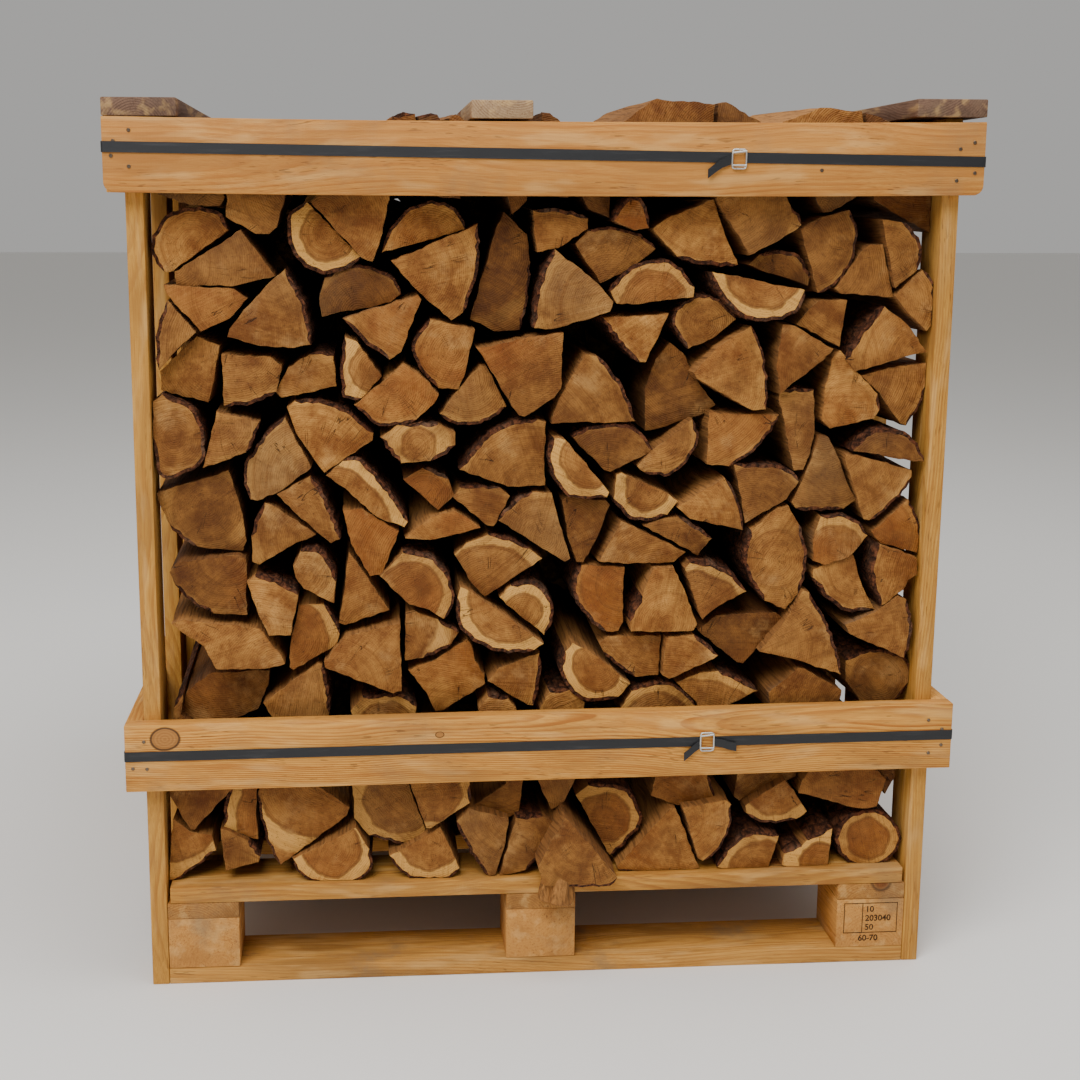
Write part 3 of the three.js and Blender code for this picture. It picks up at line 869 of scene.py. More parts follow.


# ---------------------------------------------------------------- the stack of logs
# Each log is a tone and the corners of its end, in millimetres (x, z) on the plane END_PLANE. A third
# number says that bark runs from that corner to the next one, and by how much it bulges.
# The tones are how light the wood is and how clearly its sapwood shows; the dark wood of the 'shade' tone is
# painted shade, for the logs that lie in shadow under the upper belt and deep in the stack.
TONES = {
    "pale": (0.88, 0.15),
    "cream": (0.78, 1.0),
    "gold": (0.62, 0.2),
    "rings": (0.55, 0.75),
    "brown": (0.4, 0.1),
    "dark": (0.12, 0.1),
    # painted shade: darker wood standing in for the shadow that these logs lie in
    "shade": (0.24, 0.0),
}
FRONT_STACK = (
    # under the upper belt
    ("pale", (-470, 950), (-400, 1001, 5), (-420, 1026, 4), (-470, 1022, 5), (-495, 985, 5), (-481, 949)),
    ("shade", (-492, 1072), (-408, 1072), (-404, 1040), (-410, 1030), (-446, 1031), (-486, 1044)),
    ("brown", (-403, 1017), (-367, 996), (-350, 996), (-341, 1004), (-330, 1043), (-322, 1076),
     (-398, 1078)),
    ("brown", (-385, 1001), (-344, 944), (-398, 931), (-467, 933), (-468, 949), (-432, 971)),
    ("gold", (-482, 933), (-396, 928), (-379, 916), (-402, 891), (-438, 875), (-478, 921)),
    ("brown", (-478, 914), (-444, 874), (-470, 850), (-491, 827, 8)),
    ("gold", (-331, 953, 8), (-301, 858), (-322, 854), (-370, 858), (-405, 868), (-402, 878), (-378, 907),
     (-354, 933)),
    ("cream", (-237, 968), (-303, 1035, 2), (-325, 1022, 3), (-326, 985, 5), (-300, 952, 5),
     (-262, 950, 3)),
    ("pale", (-298, 1035), (-236, 967), (-222, 962), (-212, 990), (-200, 1045), (-196, 1078), (-262, 1078)),
    ("dark", (-286, 893), (-200, 911), (-187, 921, 4), (-200, 945, 3), (-240, 958, 4), (-282, 942),
     (-289, 915)),
    ("gold", (-259, 890), (-228, 901), (-165, 920), (-161, 914), (-187, 848), (-202, 838, 4)),
    ("pale", (-211, 973), (-106, 1002, 3), (-118, 1028, 3), (-155, 1036, 5), (-195, 1008, 2)),
    ("gold", (-199, 963), (-108, 1000), (-90, 1009, 9), (-108, 898), (-123, 888), (-163, 923)),
    ("dark", (-57, 1024), (-28, 996), (-23, 960, 3), (-36, 876), (-68, 874), (-99, 889), (-84, 945),
     (-65, 1008)),
    ("shade", (-62, 1072), (-22, 1072), (-28, 1038), (-47, 1021)),
    ("gold", (-20, 1026, 6), (50, 1016), (50, 1003), (12, 979), (-15, 974)),
    ("brown", (34, 984), (50, 1001, 5), (110, 998, 3), (137, 978), (104, 953), (66, 935)),
    ("shade", (28, 1072), (78, 1074), (77, 1017), (50, 1028)),
    ("brown", (83, 1013, 3), (100, 1042, 2), (117, 1041, 3), (128, 1004), (110, 1001)),
    ("gold", (8, 978), (64, 934), (84, 911), (80, 899), (52, 889), (4, 877), (-18, 878, 8)),
    ("rings", (88, 909), (80, 925, 3), (112, 958, 3), (155, 964, 4), (188, 930), (187, 917), (115, 908)),
    ("pale", (71, 891), (156, 896), (127, 834), (119, 834, 5)),
    ("pale", (133, 1003), (150, 1016), (210, 1040), (228, 990), (243, 958, 5), (165, 968)),
    ("gold", (213, 1041), (222, 1076), (285, 1078), (310, 1032, 3), (325, 1008), (296, 989), (257, 970)),
    ("brown", (323, 1003), (350, 1018), (386, 1027, 3), (397, 990, 5), (376, 938, 2), (349, 922)),
    ("brown", (405, 976), (415, 984), (431, 984), (448, 917), (380, 921), (371, 928)),
    ("brown", (429, 1015), (455, 1012, 4), (481, 985, 3), (478, 951), (451, 928)),
    ("shade", (338, 1072), (398, 1072), (394, 1044), (362, 1025), (352, 1024), (342, 1040)),
    ("shade", (412, 1076), (500, 1076), (501, 999), (490, 1000), (452, 1019), (416, 1040)),
    ("gold", (486, 951, 2), (501, 936, 3), (500, 880), (494, 873), (468, 897), (451, 918), (474, 943)),
    ("gold", (338, 901), (350, 912), (388, 913), (380, 853), (322, 882)),
    ("dark", (257, 958), (270, 971, 4), (315, 974, 4), (338, 941), (336, 931)),
    ("cream", (211, 949), (332, 926, 4), (322, 897, 4), (270, 886, 5), (228, 912, 2)),
    ("gold", (161, 889, 3), (175, 911, 3), (208, 920, 4), (243, 889), (213, 864), (182, 851, 4)),
    ("pale", (264, 880, 9), (286, 772), (268, 771), (194, 813), (190, 820), (221, 853)),
    ("gold", (305, 882), (321, 880), (373, 850), (360, 835), (320, 806), (304, 791), (298, 830)),
    ("pale", (382, 848), (406, 819), (434, 791, 2), (437, 770), (430, 759), (372, 746), (361, 757),
     (363, 795),
     (371, 837)),
    ("gold", (438, 905), (470, 880), (496, 846), (403, 821), (389, 836, 4)),
    ("gold", (411, 815), (447, 825), (498, 831), (500, 806, 4), (474, 749), (466, 752), (437, 792)),
    ("gold", (304, 797, 2), (350, 797), (352, 740), (347, 713), (338, 692), (326, 691), (312, 752),
     (303, 785)),
    # the middle courses, from left to right
    ("brown", (-500, 787), (-488, 796, 3), (-448, 775, 5), (-437, 715, 4), (-478, 688, 2), (-496, 694, 2),
     (-501, 740)),
    ("gold", (-421, 774), (-368, 759, 3), (-385, 721), (-440, 701)),
    ("shade", (-501, 669), (-408, 698), (-395, 655), (-387, 605), (-392, 592), (-450, 598, 4), (-484, 628)),
    ("gold", (-490, 825), (-443, 869), (-415, 857), (-422, 820), (-431, 785), (-489, 801)),
    ("gold", (-413, 846), (-352, 843), (-338, 832), (-345, 798, 6), (-412, 780)),
    ("gold", (-330, 829), (-302, 846, 3), (-272, 844), (-269, 805), (-339, 791), (-346, 799)),
    ("cream", (-258, 867), (-243, 862), (-212, 817), (-238, 789, 3), (-261, 791, 4)),
    ("pale", (-184, 833), (-155, 812), (-139, 793), (-145, 782), (-168, 761, 3), (-215, 753, 2),
     (-246, 780)),
    ("rings", (-213, 738), (-190, 756, 3), (-140, 755), (-118, 745), (-118, 728, 3), (-150, 708),
     (-188, 705, 2)),
    ("gold", (-86, 831), (-78, 829), (-52, 777, 5), (-100, 754, 4), (-138, 769), (-107, 808)),
    ("gold", (-150, 889), (-93, 877), (-107, 816), (-114, 800), (-140, 802, 4), (-173, 850, 4)),
    ("gold", (-91, 853), (-18, 867), (20, 872), (18, 800), (10, 789), (-28, 764), (-36, 766)),
    ("gold", (49, 845), (64, 842, 8), (116, 757), (6, 755), (13, 780), (29, 812)),
    ("shade", (127, 800), (140, 838), (158, 859), (176, 845), (196, 808), (220, 778), (203, 766),
     (150, 749),
     (128, 745)),
    ("gold", (-335, 766), (-330, 755), (-303, 700), (-345, 669), (-372, 658), (-381, 660, 4),
     (-387, 706, 4)),
    ("pale", (-332, 778), (-322, 787, 3), (-270, 781, 3), (-223, 745), (-224, 735), (-286, 693),
     (-321, 745)),
    ("cream", (-284, 690), (-262, 709, 3), (-238, 711, 4), (-179, 628), (-184, 621), (-219, 635),
     (-255, 669)),
    ("shade", (-185, 684), (-160, 699, 3), (-127, 684), (-119, 663), (-140, 643)),
    ("pale", (-183, 606), (-150, 634), (-118, 642), (-85, 619), (-150, 604)),
    ("gold", (-120, 659), (-112, 673, 3), (-60, 672), (-47, 661), (-68, 621), (-76, 622)),
    ("gold", (-62, 628, 6), (-18, 666), (7, 665), (14, 640), (33, 576), (26, 572), (-38, 613)),
    ("brown", (21, 654), (28, 659), (79, 653), (84, 647), (66, 600), (50, 571), (41, 572), (31, 600)),
    ("gold", (-113, 696, 5), (-62, 751, 3), (-12, 761), (-1, 757), (-3, 710), (-1, 674), (-50, 673)),
    ("cream", (10, 736), (24, 734), (83, 664), (80, 657, 2), (30, 658, 5), (4, 702, 3)),
    ("brown", (34, 737, 3), (60, 751, 3), (112, 750, 3), (140, 718), (84, 691), (75, 694)),
    ("gold", (119, 698), (140, 720), (190, 759, 2), (199, 735, 7), (162, 686, 2), (129, 690)),
    ("gold", (212, 768), (304, 765, 10), (240, 697), (211, 700)),
    ("brown", (247, 699, 3), (312, 696, 3), (334, 676), (318, 653), (264, 621), (258, 655)),
    ("pale", (173, 643), (205, 664), (236, 681, 6), (261, 612), (190, 628)),
    ("cream", (92, 687), (99, 690), (150, 667), (174, 652), (160, 633, 3), (118, 626, 4), (89, 655)),
    ("shade", (358, 737), (371, 734), (412, 650), (395, 638, 3), (331, 640), (325, 648), (350, 708)),
    ("brown", (405, 715, 4), (432, 744, 4), (480, 736, 3), (500, 701)),
    ("gold", (394, 712), (410, 711), (485, 689), (486, 680, 6), (432, 622), (424, 624), (395, 700)),
    ("gold", (-347, 666), (-304, 689, 6), (-267, 606), (-279, 601), (-300, 619)),
    ("gold", (-363, 655), (-352, 651), (-298, 613), (-335, 596), (-371, 574), (-380, 578), (-381, 612, 2)),
    ("gold", (-263, 643), (-238, 646), (-218, 632), (-191, 616), (-213, 559), (-229, 557), (-253, 600)),
    ("shade", (-486, 566), (-475, 578), (-397, 587), (-389, 582), (-388, 507), (-432, 510, 5), (-480, 549)),
    ("pale", (-388, 551), (-377, 558, 3), (-340, 547, 2), (-322, 533), (-333, 479), (-361, 479),
     (-375, 510)),
    ("gold", (-328, 572), (-318, 591, 3), (-292, 591, 4), (-273, 550), (-276, 521), (-315, 541),
     (-325, 556)),
    ("gold", (-256, 589), (-239, 565), (-204, 511), (-262, 491, 2), (-270, 494)),
    ("gold", (-261, 476), (-190, 492), (-189, 401), (-200, 398), (-289, 434), (-290, 442)),
    ("rings", (-322, 520), (-289, 521, 3), (-269, 480), (-273, 465), (-330, 431), (-335, 435), (-334, 462)),
    ("pale", (-486, 497), (-470, 502), (-373, 488), (-346, 452), (-341, 440), (-362, 435), (-430, 435),
     (-445, 466), (-476, 488)),
    ("shade", (-468, 407), (-436, 430), (-361, 431), (-363, 412), (-377, 380), (-440, 352), (-476, 380)),
    ("dark", (-486, 385, 2), (-474, 402), (-478, 374), (-452, 350), (-488, 350)),
    ("gold", (-370, 388), (-298, 441), (-292, 439, 4), (-284, 372), (-290, 350), (-350, 352)),
    ("rings", (-256, 374), (-240, 393, 3), (-188, 396, 2), (-169, 379), (-175, 345), (-245, 345)),
    ("rings", (-216, 556), (-186, 587, 3), (-145, 579, 4), (-119, 530, 3), (-133, 498), (-152, 511),
     (-178, 518)),
    ("rings", (-183, 507), (-172, 510), (-140, 497, 2), (-113, 479), (-123, 463, 3), (-160, 445),
     (-184, 442)),
    ("pale", (-180, 430), (-150, 440), (-102, 470), (-97, 462), (-92, 440), (-79, 420), (-78, 408),
     (-134, 372),
     (-144, 372), (-156, 398)),
    ("rings", (-119, 584), (-104, 599), (-75, 610, 4), (-22, 591), (-4, 577), (-40, 553), (-79, 527),
     (-97, 546)),
    ("cream", (-60, 526), (-45, 542, 2), (-15, 546, 4), (12, 510, 4), (0, 472)),
    ("cream", (-111, 540), (-98, 534), (-78, 519), (-1, 462), (-13, 453, 3), (-62, 452, 4), (-111, 483, 4),
     (-115, 525)),
    ("gold", (-75, 412), (-60, 430), (-6, 449, 5), (-14, 377), (-22, 378)),
    ("cream", (38, 462), (60, 451), (116, 404), (100, 386, 3), (50, 384, 4), (21, 425, 2), (28, 450)),
    ("gold", (73, 461), (84, 470), (156, 470), (153, 416), (122, 414, 3), (79, 449)),
    ("pale", (163, 467), (200, 470, 3), (234, 441), (196, 422), (168, 410), (159, 415)),
    ("rings", (104, 372), (118, 395, 4), (170, 404, 4), (205, 371), (200, 345), (112, 345)),
    ("rings", (178, 404), (210, 417), (235, 419, 3), (289, 392), (250, 373), (212, 352), (206, 377)),
    ("brown", (304, 388), (342, 423), (352, 421), (404, 389), (400, 352), (312, 352)),
    ("shade", (409, 402), (408, 431, 3), (440, 446, 3), (487, 435, 3), (500, 405, 3), (478, 375),
     (431, 373)),
    ("gold", (405, 480), (445, 497), (476, 519), (487, 514, 3), (496, 465, 2), (487, 434), (482, 435),
     (411, 468)),
    ("pale", (-87, 372), (-74, 390, 3), (-48, 387), (-36, 372), (-45, 345), (-80, 345)),
    ("gold", (-5, 372), (8, 395, 2), (34, 398), (55, 380), (50, 348), (2, 345)),
    ("gold", (48, 567), (105, 564), (104, 490), (98, 478), (82, 477, 7), (37, 530, 3)),
    ("pale", (144, 561), (171, 562), (182, 540), (204, 484), (199, 476), (115, 477), (113, 490, 2),
     (129, 525)),
    ("gold", (71, 572), (86, 600), (99, 626), (140, 606), (186, 583), (171, 570), (110, 568)),
    ("brown", (129, 619), (150, 627), (175, 631, 3), (221, 601), (209, 588), (203, 578), (160, 602)),
    ("gold", (322, 643), (337, 618, 4), (348, 565, 3), (339, 525), (322, 503), (293, 516, 3), (263, 568, 3),
     (272, 612), (308, 641)),
    ("rings", (357, 600), (366, 629, 3), (404, 627, 4), (429, 603), (405, 574), (372, 563), (357, 569)),
    ("gold", (358, 557), (411, 577), (425, 535), (443, 502, 3), (398, 501, 4), (359, 545)),
    ("gold", (434, 608), (483, 650, 5), (500, 600), (498, 578), (447, 592)),
    ("pale", (446, 591), (498, 571), (501, 549), (488, 540), (482, 527), (453, 506, 3), (436, 560, 2)),
    ("gold", (346, 528), (355, 525, 8), (401, 412), (345, 432), (290, 445), (322, 485)),
    ("dark", (204, 478), (229, 497), (309, 499), (320, 491), (289, 455), (268, 429), (260, 431)),
    ("rings", (185, 561), (192, 569, 4), (240, 559, 3), (270, 528), (232, 509), (211, 491), (204, 505)),
    # between the pallet and the lower belt, from left to right
    ("brown", (-495, 262), (-500, 335), (-420, 335), (-408, 275), (-464, 214), (-470, 215)),
    ("cream", (-492, 231), (-470, 212), (-442, 206), (-437, 184, 2), (-500, 137), (-498, 175)),
    ("cream", (-426, 218, 5), (-404, 300), (-380, 300), (-383, 240), (-381, 198), (-388, 199)),
    ("brown", (-430, 215), (-418, 211), (-394, 196, 2), (-379, 174), (-381, 166), (-425, 155)),
    ("cream", (-352, 163), (-263, 229), (-259, 240), (-300, 270), (-330, 330), (-366, 330), (-380, 262, 7)),
    ("cream", (-335, 168), (-251, 211), (-233, 180, 2), (-231, 152, 4), (-270, 129, 5), (-325, 147, 3)),
    ("rings", (-255, 285), (-253, 225), (-233, 200, 2), (-185, 188), (-168, 192), (-158, 207), (-182, 275),
     (-190, 330), (-250, 330)),
    ("cream", (-206, 169), (-184, 181), (-138, 209), (-112, 150, 2), (-125, 136, 3), (-180, 138, 3)),
    ("rings", (-178, 272), (-172, 330), (-112, 330), (-98, 268, 2), (-98, 243), (-150, 209), (-157, 209)),
    ("brown", (-96, 236), (-50, 268), (-44, 315), (-20, 315), (-32, 229), (-46, 220)),
    ("gold", (-116, 217), (-98, 235), (-46, 218), (-51, 178), (-63, 137), (-72, 135, 5)),
    ("brown", (-36, 220, 2), (0, 221), (21, 208), (15, 185, 3), (-22, 144), (-58, 136)),
    ("rings", (-8, 274), (-16, 320), (60, 320), (42, 268), (30, 241), (12, 229)),
    ("rings", (45, 249), (62, 263, 4), (111, 259, 4), (136, 218, 4), (116, 184, 2), (93, 162)),
    ("pale", (103, 146), (143, 193), (174, 229), (181, 228), (217, 140), (205, 134, 2), (140, 132, 2),
     (104, 141)),
    ("brown", (147, 247), (152, 268), (158, 330), (215, 330), (224, 272, 3), (235, 241), (222, 238),
     (183, 232)),
    ("pale", (191, 229), (251, 237), (258, 231, 6), (245, 167, 2), (222, 149), (215, 153)),
    ("rings", (241, 141, 3), (263, 175, 4), (298, 190, 2), (326, 184), (311, 131), (262, 131)),
    ("rings", (277, 229), (300, 246), (331, 264), (344, 249), (364, 217), (350, 206, 3),
     (299, 204, 3), (279, 218)),
    ("shade", (265, 275), (270, 330), (345, 330), (345, 269), (300, 249), (269, 236), (262, 241)),
    ("rings", (351, 244), (355, 262), (372, 285), (440, 290), (471, 262), (460, 223), (440, 220)),
    ("cream", (331, 141), (334, 158, 3), (358, 168), (366, 176, 3), (401, 192), (394, 132), (345, 136)),
    ("rings", (405, 176, 12), (451, 217, 12), (497, 176, 12), (452, 135, 12)),
    ("dark", (447, 290), (485, 290), (483, 263), (471, 240), (463, 262)),
)
# The topmost course stands behind and above the upper belt.
TOP_COURSE = (
    ("brown", (-498, 1076), (-494, 1118, 5), (-412, 1120), (-406, 1078)),
    ("brown", (-402, 1084), (-396, 1120, 6), (-330, 1122), (-320, 1082)),
    ("gold", (-316, 1084), (-312, 1116), (-262, 1122, 3), (-218, 1118), (-200, 1082)),
    ("dark", (-196, 1046), (-214, 1126), (-196, 1140, 2), (-168, 1143), (-164, 1090), (-172, 1046)),
    ("dark", (-168, 1044), (-160, 1100), (-164, 1140, 3), (-140, 1142), (-112, 1092), (-112, 1040)),
    ("brown", (-108, 1046), (-106, 1096), (-126, 1138), (-118, 1143), (-96, 1130), (-66, 1074),
     (-66, 1046)),
    ("brown", (-60, 1078), (-92, 1128), (-14, 1130), (-20, 1078)),
    ("dark", (-16, 1044), (-16, 1090), (-10, 1146), (0, 1145), (14, 1134), (26, 1080), (24, 1042)),
    ("brown", (30, 1078), (18, 1128, 3), (84, 1132), (80, 1080)),
    ("brown", (84, 1046), (90, 1134), (134, 1164), (208, 1157), (206, 1090), (160, 1046)),
    ("shade", (210, 1084), (212, 1158), (222, 1160), (270, 1134), (292, 1090), (284, 1082)),
    ("pale", (296, 1086), (284, 1132), (342, 1154), (396, 1150), (404, 1088), (330, 1078)),
    ("shade", (408, 1080), (402, 1148), (446, 1134, 2), (494, 1132), (498, 1082)),
)
# The log that overhangs the front edge, and the ends of its stump's middle line.
OVERHANGING_END = ((26, 235), (-10, 168), (-2, 141), (20, 138, 0.3), (78, 138, 4), (96, 150))
STUMP_TOP = Vector((31, -500, 196)) * MM
STUMP_FOOT = Vector((13, -521, 111)) * MM
IN_FRONT_OF_DECK = -501 * MM


ALL_LOGS = FRONT_STACK + TOP_COURSE
CAMERA_PLACE = Vector((-0.2332, -2.4687, 1.0362))
END_PLANE = -490 * MM
OUTER_FACE = -498.4 * MM
LOG_LENGTH = 330 * MM
# The steps from ring to ring along a log, in millimetres.
LOG_STATIONS = (8, 14, 24, 44, 70, 80, 90)
COARSE_STATIONS = (40, 130, 160)
HIDDEN_GROWTH = 1.22
HIDDEN_TOP = 1126 * MM
DECK_FACE = 137.6 * MM
SIDE_FACE = 501.2 * MM
HEAP_TOP = 1164 * MM
COURSE_HEIGHT = 86
LOWEST_CORNER = 137
NEAR = 0.2 * MM
END_GRAIN, SPLIT_FACE, BARK = range(3)


def rounded_outline(corners, spacing, chance):
    """The points round a log's end, against the clock, and which of the steps between them are bark."""
    points, barked = [], []
    area = sum(a[0] * b[1] - b[0] * a[1] for a, b in zip(corners, corners[1:] + corners[:1]))
    side = 1 if area > 0 else -1
    for start, stop in zip(corners, corners[1:] + corners[:1]):
        bulge = start[2] if len(start) > 2 else 0
        dx, dz = stop[0] - start[0], stop[1] - start[1]
        length = math.hypot(dx, dz)
        steps = max(1, round(length / spacing))
        sway, waves = chance.uniform(-0.012, 0.012) * length, chance.choice((1, 2))
        for i in range(steps):
            share = i / steps
            out = bulge * 4 * share * (1 - share)
            if not bulge:
                out = sway * math.sin(math.pi * share * waves)
            rough = 1.7 if bulge else 0.9
            out += chance.uniform(-rough, rough) if i else 0.0
            points.append((start[0] + dx * share + side * out * dz / length,
                           start[1] + dz * share - side * out * dx / length))
            barked.append(bool(bulge))
    if side < 0:
        points = points[::-1]
        barked = barked[-2::-1] + barked[-1:]
    return np.array(points) * MM, barked


def heart_of(points, barked, chance):
    """Where a log's pith lies and how far from it the bark is, from a circle through the bark."""
    middle = points.mean(axis=0)
    chosen = [i for i in range(len(points)) if barked[i] or barked[i - 1]]
    if len(chosen) >= 4:
        x, z = points[chosen].T
        left_side = np.column_stack([x, z, np.ones(len(x))])
        a, b, c = np.linalg.lstsq(left_side, x * x + z * z, rcond=None)[0]
        centre = np.array([a / 2, b / 2])
        radius = math.sqrt(max(c + centre @ centre, 1e-6))
        if all(barked):
            return centre, radius
        inward = (centre - points[chosen].mean(axis=0)) @ (middle - points[chosen].mean(axis=0)) > 0
        if inward and 0.03 < radius < 0.15:
            return centre, radius
        edge = points[chosen].mean(axis=0)
        reach = 0.09
        return edge + (middle - edge) / np.linalg.norm(middle - edge) * reach, reach
    turn = chance.uniform(0, math.tau)
    away = np.array([math.cos(turn), math.sin(turn)]) * chance.uniform(0.03, 0.08)
    return middle + away, 0.2


class LogPlan:
    """One log's outline, heart and small irregularities, before it is modelled."""

    def __init__(self, tone, corners, spacing, chance, row):
        self.points, self.barked = rounded_outline(corners, spacing, chance)
        self.heart, self.radius = heart_of(self.points, self.barked, chance)
        # For logs of the shade tone this lightness is painted shade.
        light, sap = TONES[tone]
        light = min(1.0, max(0.0, light + chance.uniform(-0.1, 0.1)))
        self.tone = (light, sap, chance.random())
        self.setback = chance.uniform(-6, 16) * MM
        if tone in ("shade", "dark"):
            self.setback += chance.uniform(6, 22) * MM
        if row == "front":
            eye = np.array([CAMERA_PLACE.x, CAMERA_PLACE.z])
            far = END_PLANE - CAMERA_PLACE.y
            grow = (far + self.setback) / far
            self.points = eye + (self.points - eye) * grow
            self.heart = eye + (self.heart - eye) * grow
        if row == "middle":
            middle = self.points.mean(axis=0)
            self.points = middle + (self.points - middle) * HIDDEN_GROWTH
            self.points[:, 1] = self.points[:, 1].clip(None, HIDDEN_TOP)
        self.tilt = np.array([chance.uniform(-0.05, 0.05), chance.uniform(-0.05, 0.05)])
        self.drift = np.array([chance.uniform(-10, 10), chance.uniform(-7, 7)]) * MM
        self.swell = chance.uniform(0.0, 0.12)
        self.rind = chance.uniform(3.2, 5.5) * MM
        self.wave = [chance.uniform(0, TURN) for _ in range(4)]

    def inner_points(self):
        """The outline with the bark taken off it, which is where the sawn face of the wood begins."""
        count = len(self.points)
        ahead = np.roll(self.points, -1, axis=0) - self.points
        behind = self.points - np.roll(self.points, 1, axis=0)
        run = ahead / np.linalg.norm(ahead, axis=1)[:, None]
        run = run + behind / np.linalg.norm(behind, axis=1)[:, None]
        run /= np.linalg.norm(run, axis=1)[:, None]
        inward = np.column_stack([-run[:, 1], run[:, 0]])
        moved = []
        for i in range(count):
            depth = self.rind if self.barked[i] and self.barked[i - 1] else 0.8 * MM
            gap = np.linalg.norm(self.points - self.points[i], axis=1)
            near = [abs((j - i + count // 2) % count - count // 2) < 2 for j in range(count)]
            gap[near] = 1.0
            moved.append(self.points[i] + inward[i] * min(depth, gap.min() * 0.34))
        return np.array(moved)


def add_outline(count):
    """Adds a flat face with a number of corners, to be shaped afterwards; in edit mode it joins the mesh."""
    bpy.ops.mesh.primitive_circle_add(
        vertices=count, radius=0.02, fill_type="NGON", rotation=(math.pi / 2, 0, 0))


def whole_numbers(mesh, name, values):
    layer = mesh.attributes.new(name, "INT", "POINT")
    layer.data.foreach_set("value", values)


def read_whole(mesh, name):
    values = np.empty(len(mesh.vertices), int)
    mesh.attributes[name].data.foreach_get("value", values)
    return values


def extrude_ends(piece, stations, inset_both):
    """Draws the outlines out to whole logs, ring by ring, with one more ring inside each end."""
    for step in stations:
        bpy.ops.mesh.extrude_region_move(TRANSFORM_OT_translate={"value": (0, step * MM, 0)})
    if not inset_both:
        return
    bpy.ops.mesh.extrude_region_move(TRANSFORM_OT_translate={"value": (0, MM, 0)})
    bpy.ops.object.mode_set(mode="OBJECT")
    for face in piece.data.polygons:
        face.select = len(face.vertices) > 4 and face.center.y < 0.1 * MM
    bpy.ops.object.mode_set(mode="EDIT")
    bpy.ops.mesh.extrude_region_move(TRANSFORM_OT_translate={"value": (0, -MM, 0)})


def model_logs(plans, front_y, stations, inset_both, facing_back=False, limit=None):
    """Models a group of logs, side by side in one mesh, from their plans."""
    clear_selection()
    add_outline(len(plans[0].points))
    piece = bpy.context.object
    apply_place()
    bpy.ops.object.mode_set(mode="EDIT")
    for plan in plans[1:]:
        add_outline(len(plan.points))
    bpy.ops.object.mode_set(mode="OBJECT")
    mesh = piece.data
    outline = np.vstack([plan.points for plan in plans])
    flat = np.zeros((len(outline), 3))
    flat[:, X], flat[:, Z] = outline.T
    set_points(piece, flat)
    whole_numbers(mesh, "log", np.concatenate([[i] * len(plan.points) for i, plan in enumerate(plans)]))
    whole_numbers(mesh, "turn", np.concatenate([range(len(plan.points)) for plan in plans]))
    bpy.ops.object.mode_set(mode="EDIT")
    bpy.ops.mesh.select_mode(type="FACE")
    bpy.ops.mesh.select_all(action="SELECT")
    extrude_ends(piece, stations, inset_both)
    bpy.ops.mesh.select_all(action="SELECT")
    bpy.ops.mesh.normals_make_consistent(inside=False)
    bpy.ops.object.mode_set(mode="OBJECT")
    shape_logs(piece, plans, front_y, sum(stations) * MM, facing_back, limit)
    bpy.ops.object.shade_smooth_by_angle(angle=math.radians(38))
    return piece


def shape_logs(piece, plans, front_y, length, facing_back, limit):
    """Gives each log its taper, drift, rough bark and slanting ends, and marks its faces and points."""
    mesh = piece.data
    spots = points_of(piece)
    station = spots[:, Y].copy()
    log, turn = read_whole(mesh, "log"), read_whole(mesh, "turn")
    at_start, at_stop = station < NEAR, station > length - NEAR
    inside = (station < -NEAR) | (station > length + NEAR)
    share = np.clip(station / length, 0, 1)
    if facing_back:
        share = 1 - share
    heart = np.zeros_like(spots)
    tone = np.zeros_like(spots)
    rim = np.zeros_like(spots)
    touches_bark = np.zeros(len(spots), bool)
    for number, plan in enumerate(plans):
        mine = np.flatnonzero(log == number)
        ring = turn[mine]
        own = share[mine]
        flat = np.where(inside[mine][:, None], plan.inner_points()[ring], plan.points[ring])
        centre = plan.points.mean(axis=0)
        flat = centre + (flat - centre) * (1 + plan.swell * own)[:, None] + plan.drift * own[:, None]
        barked = np.array(plan.barked)
        rough = (barked | np.roll(barked, 1))[ring]
        phase = ring * 1.9 + station[mine] * 95 + plan.wave[0]
        swing = np.sin(phase) * np.sin(ring * 0.7 + station[mine] * 31 + plan.wave[1])
        out = flat - centre
        out /= np.maximum(np.linalg.norm(out, axis=1), 1e-6)[:, None]
        middle = (~at_start & ~at_stop)[mine][:, None]
        flat = flat + out * (swing * np.where(rough, 1.5, 0.7) * MM)[:, None] * middle
        depth = station[mine].clip(0, length)
        slant = (flat - centre) @ plan.tilt
        depth = depth + slant * (1 - own)
        depth = depth + (-plan.setback if facing_back else plan.setback)
        ends = (at_start | at_stop)[mine] & ~inside[mine]
        ragged = np.where(rough, 1.6, 0.5) * MM * (1 + np.sin(ring * 2.3 + plan.wave[2])) * 0.6
        depth = depth + np.where(ends, ragged, 0) * np.where(at_start[mine], 1, -1)
        spots[mine, X], spots[mine, Z] = flat.T
        spots[mine, Y] = depth
        heart[mine] = (*plan.heart, plan.radius)
        tone[mine] = plan.tone
        touches_bark[mine] = rough
    rim[:, 0] = ~inside
    spots[:, X] = spots[:, X].clip(-SIDE_FACE, SIDE_FACE)
    spots[:, Z] = spots[:, Z].clip(DECK_FACE, HEAP_TOP)
    spots[:, Y] += front_y
    if limit is not None:
        spots[:, Y] = spots[:, Y].clip(limit, -limit)
    set_points(piece, spots)
    paint(piece, "pith", heart)
    paint(piece, "tone", tone)
    paint(piece, "rim", rim)
    kinds = []
    for face in mesh.polygons:
        corners = list(face.vertices)
        caps = sum(at_start[i] or at_stop[i] for i in corners)
        if len(corners) > 4:
            kinds.append(END_GRAIN)
        elif all(touches_bark[i] for i in corners):
            kinds.append(BARK)
        else:
            kinds.append(END_GRAIN if caps == 4 else SPLIT_FACE)
    mesh.polygons.foreach_set("material_index", kinds)
    for layer in ("log", "turn"):
        mesh.attributes.remove(mesh.attributes[layer])


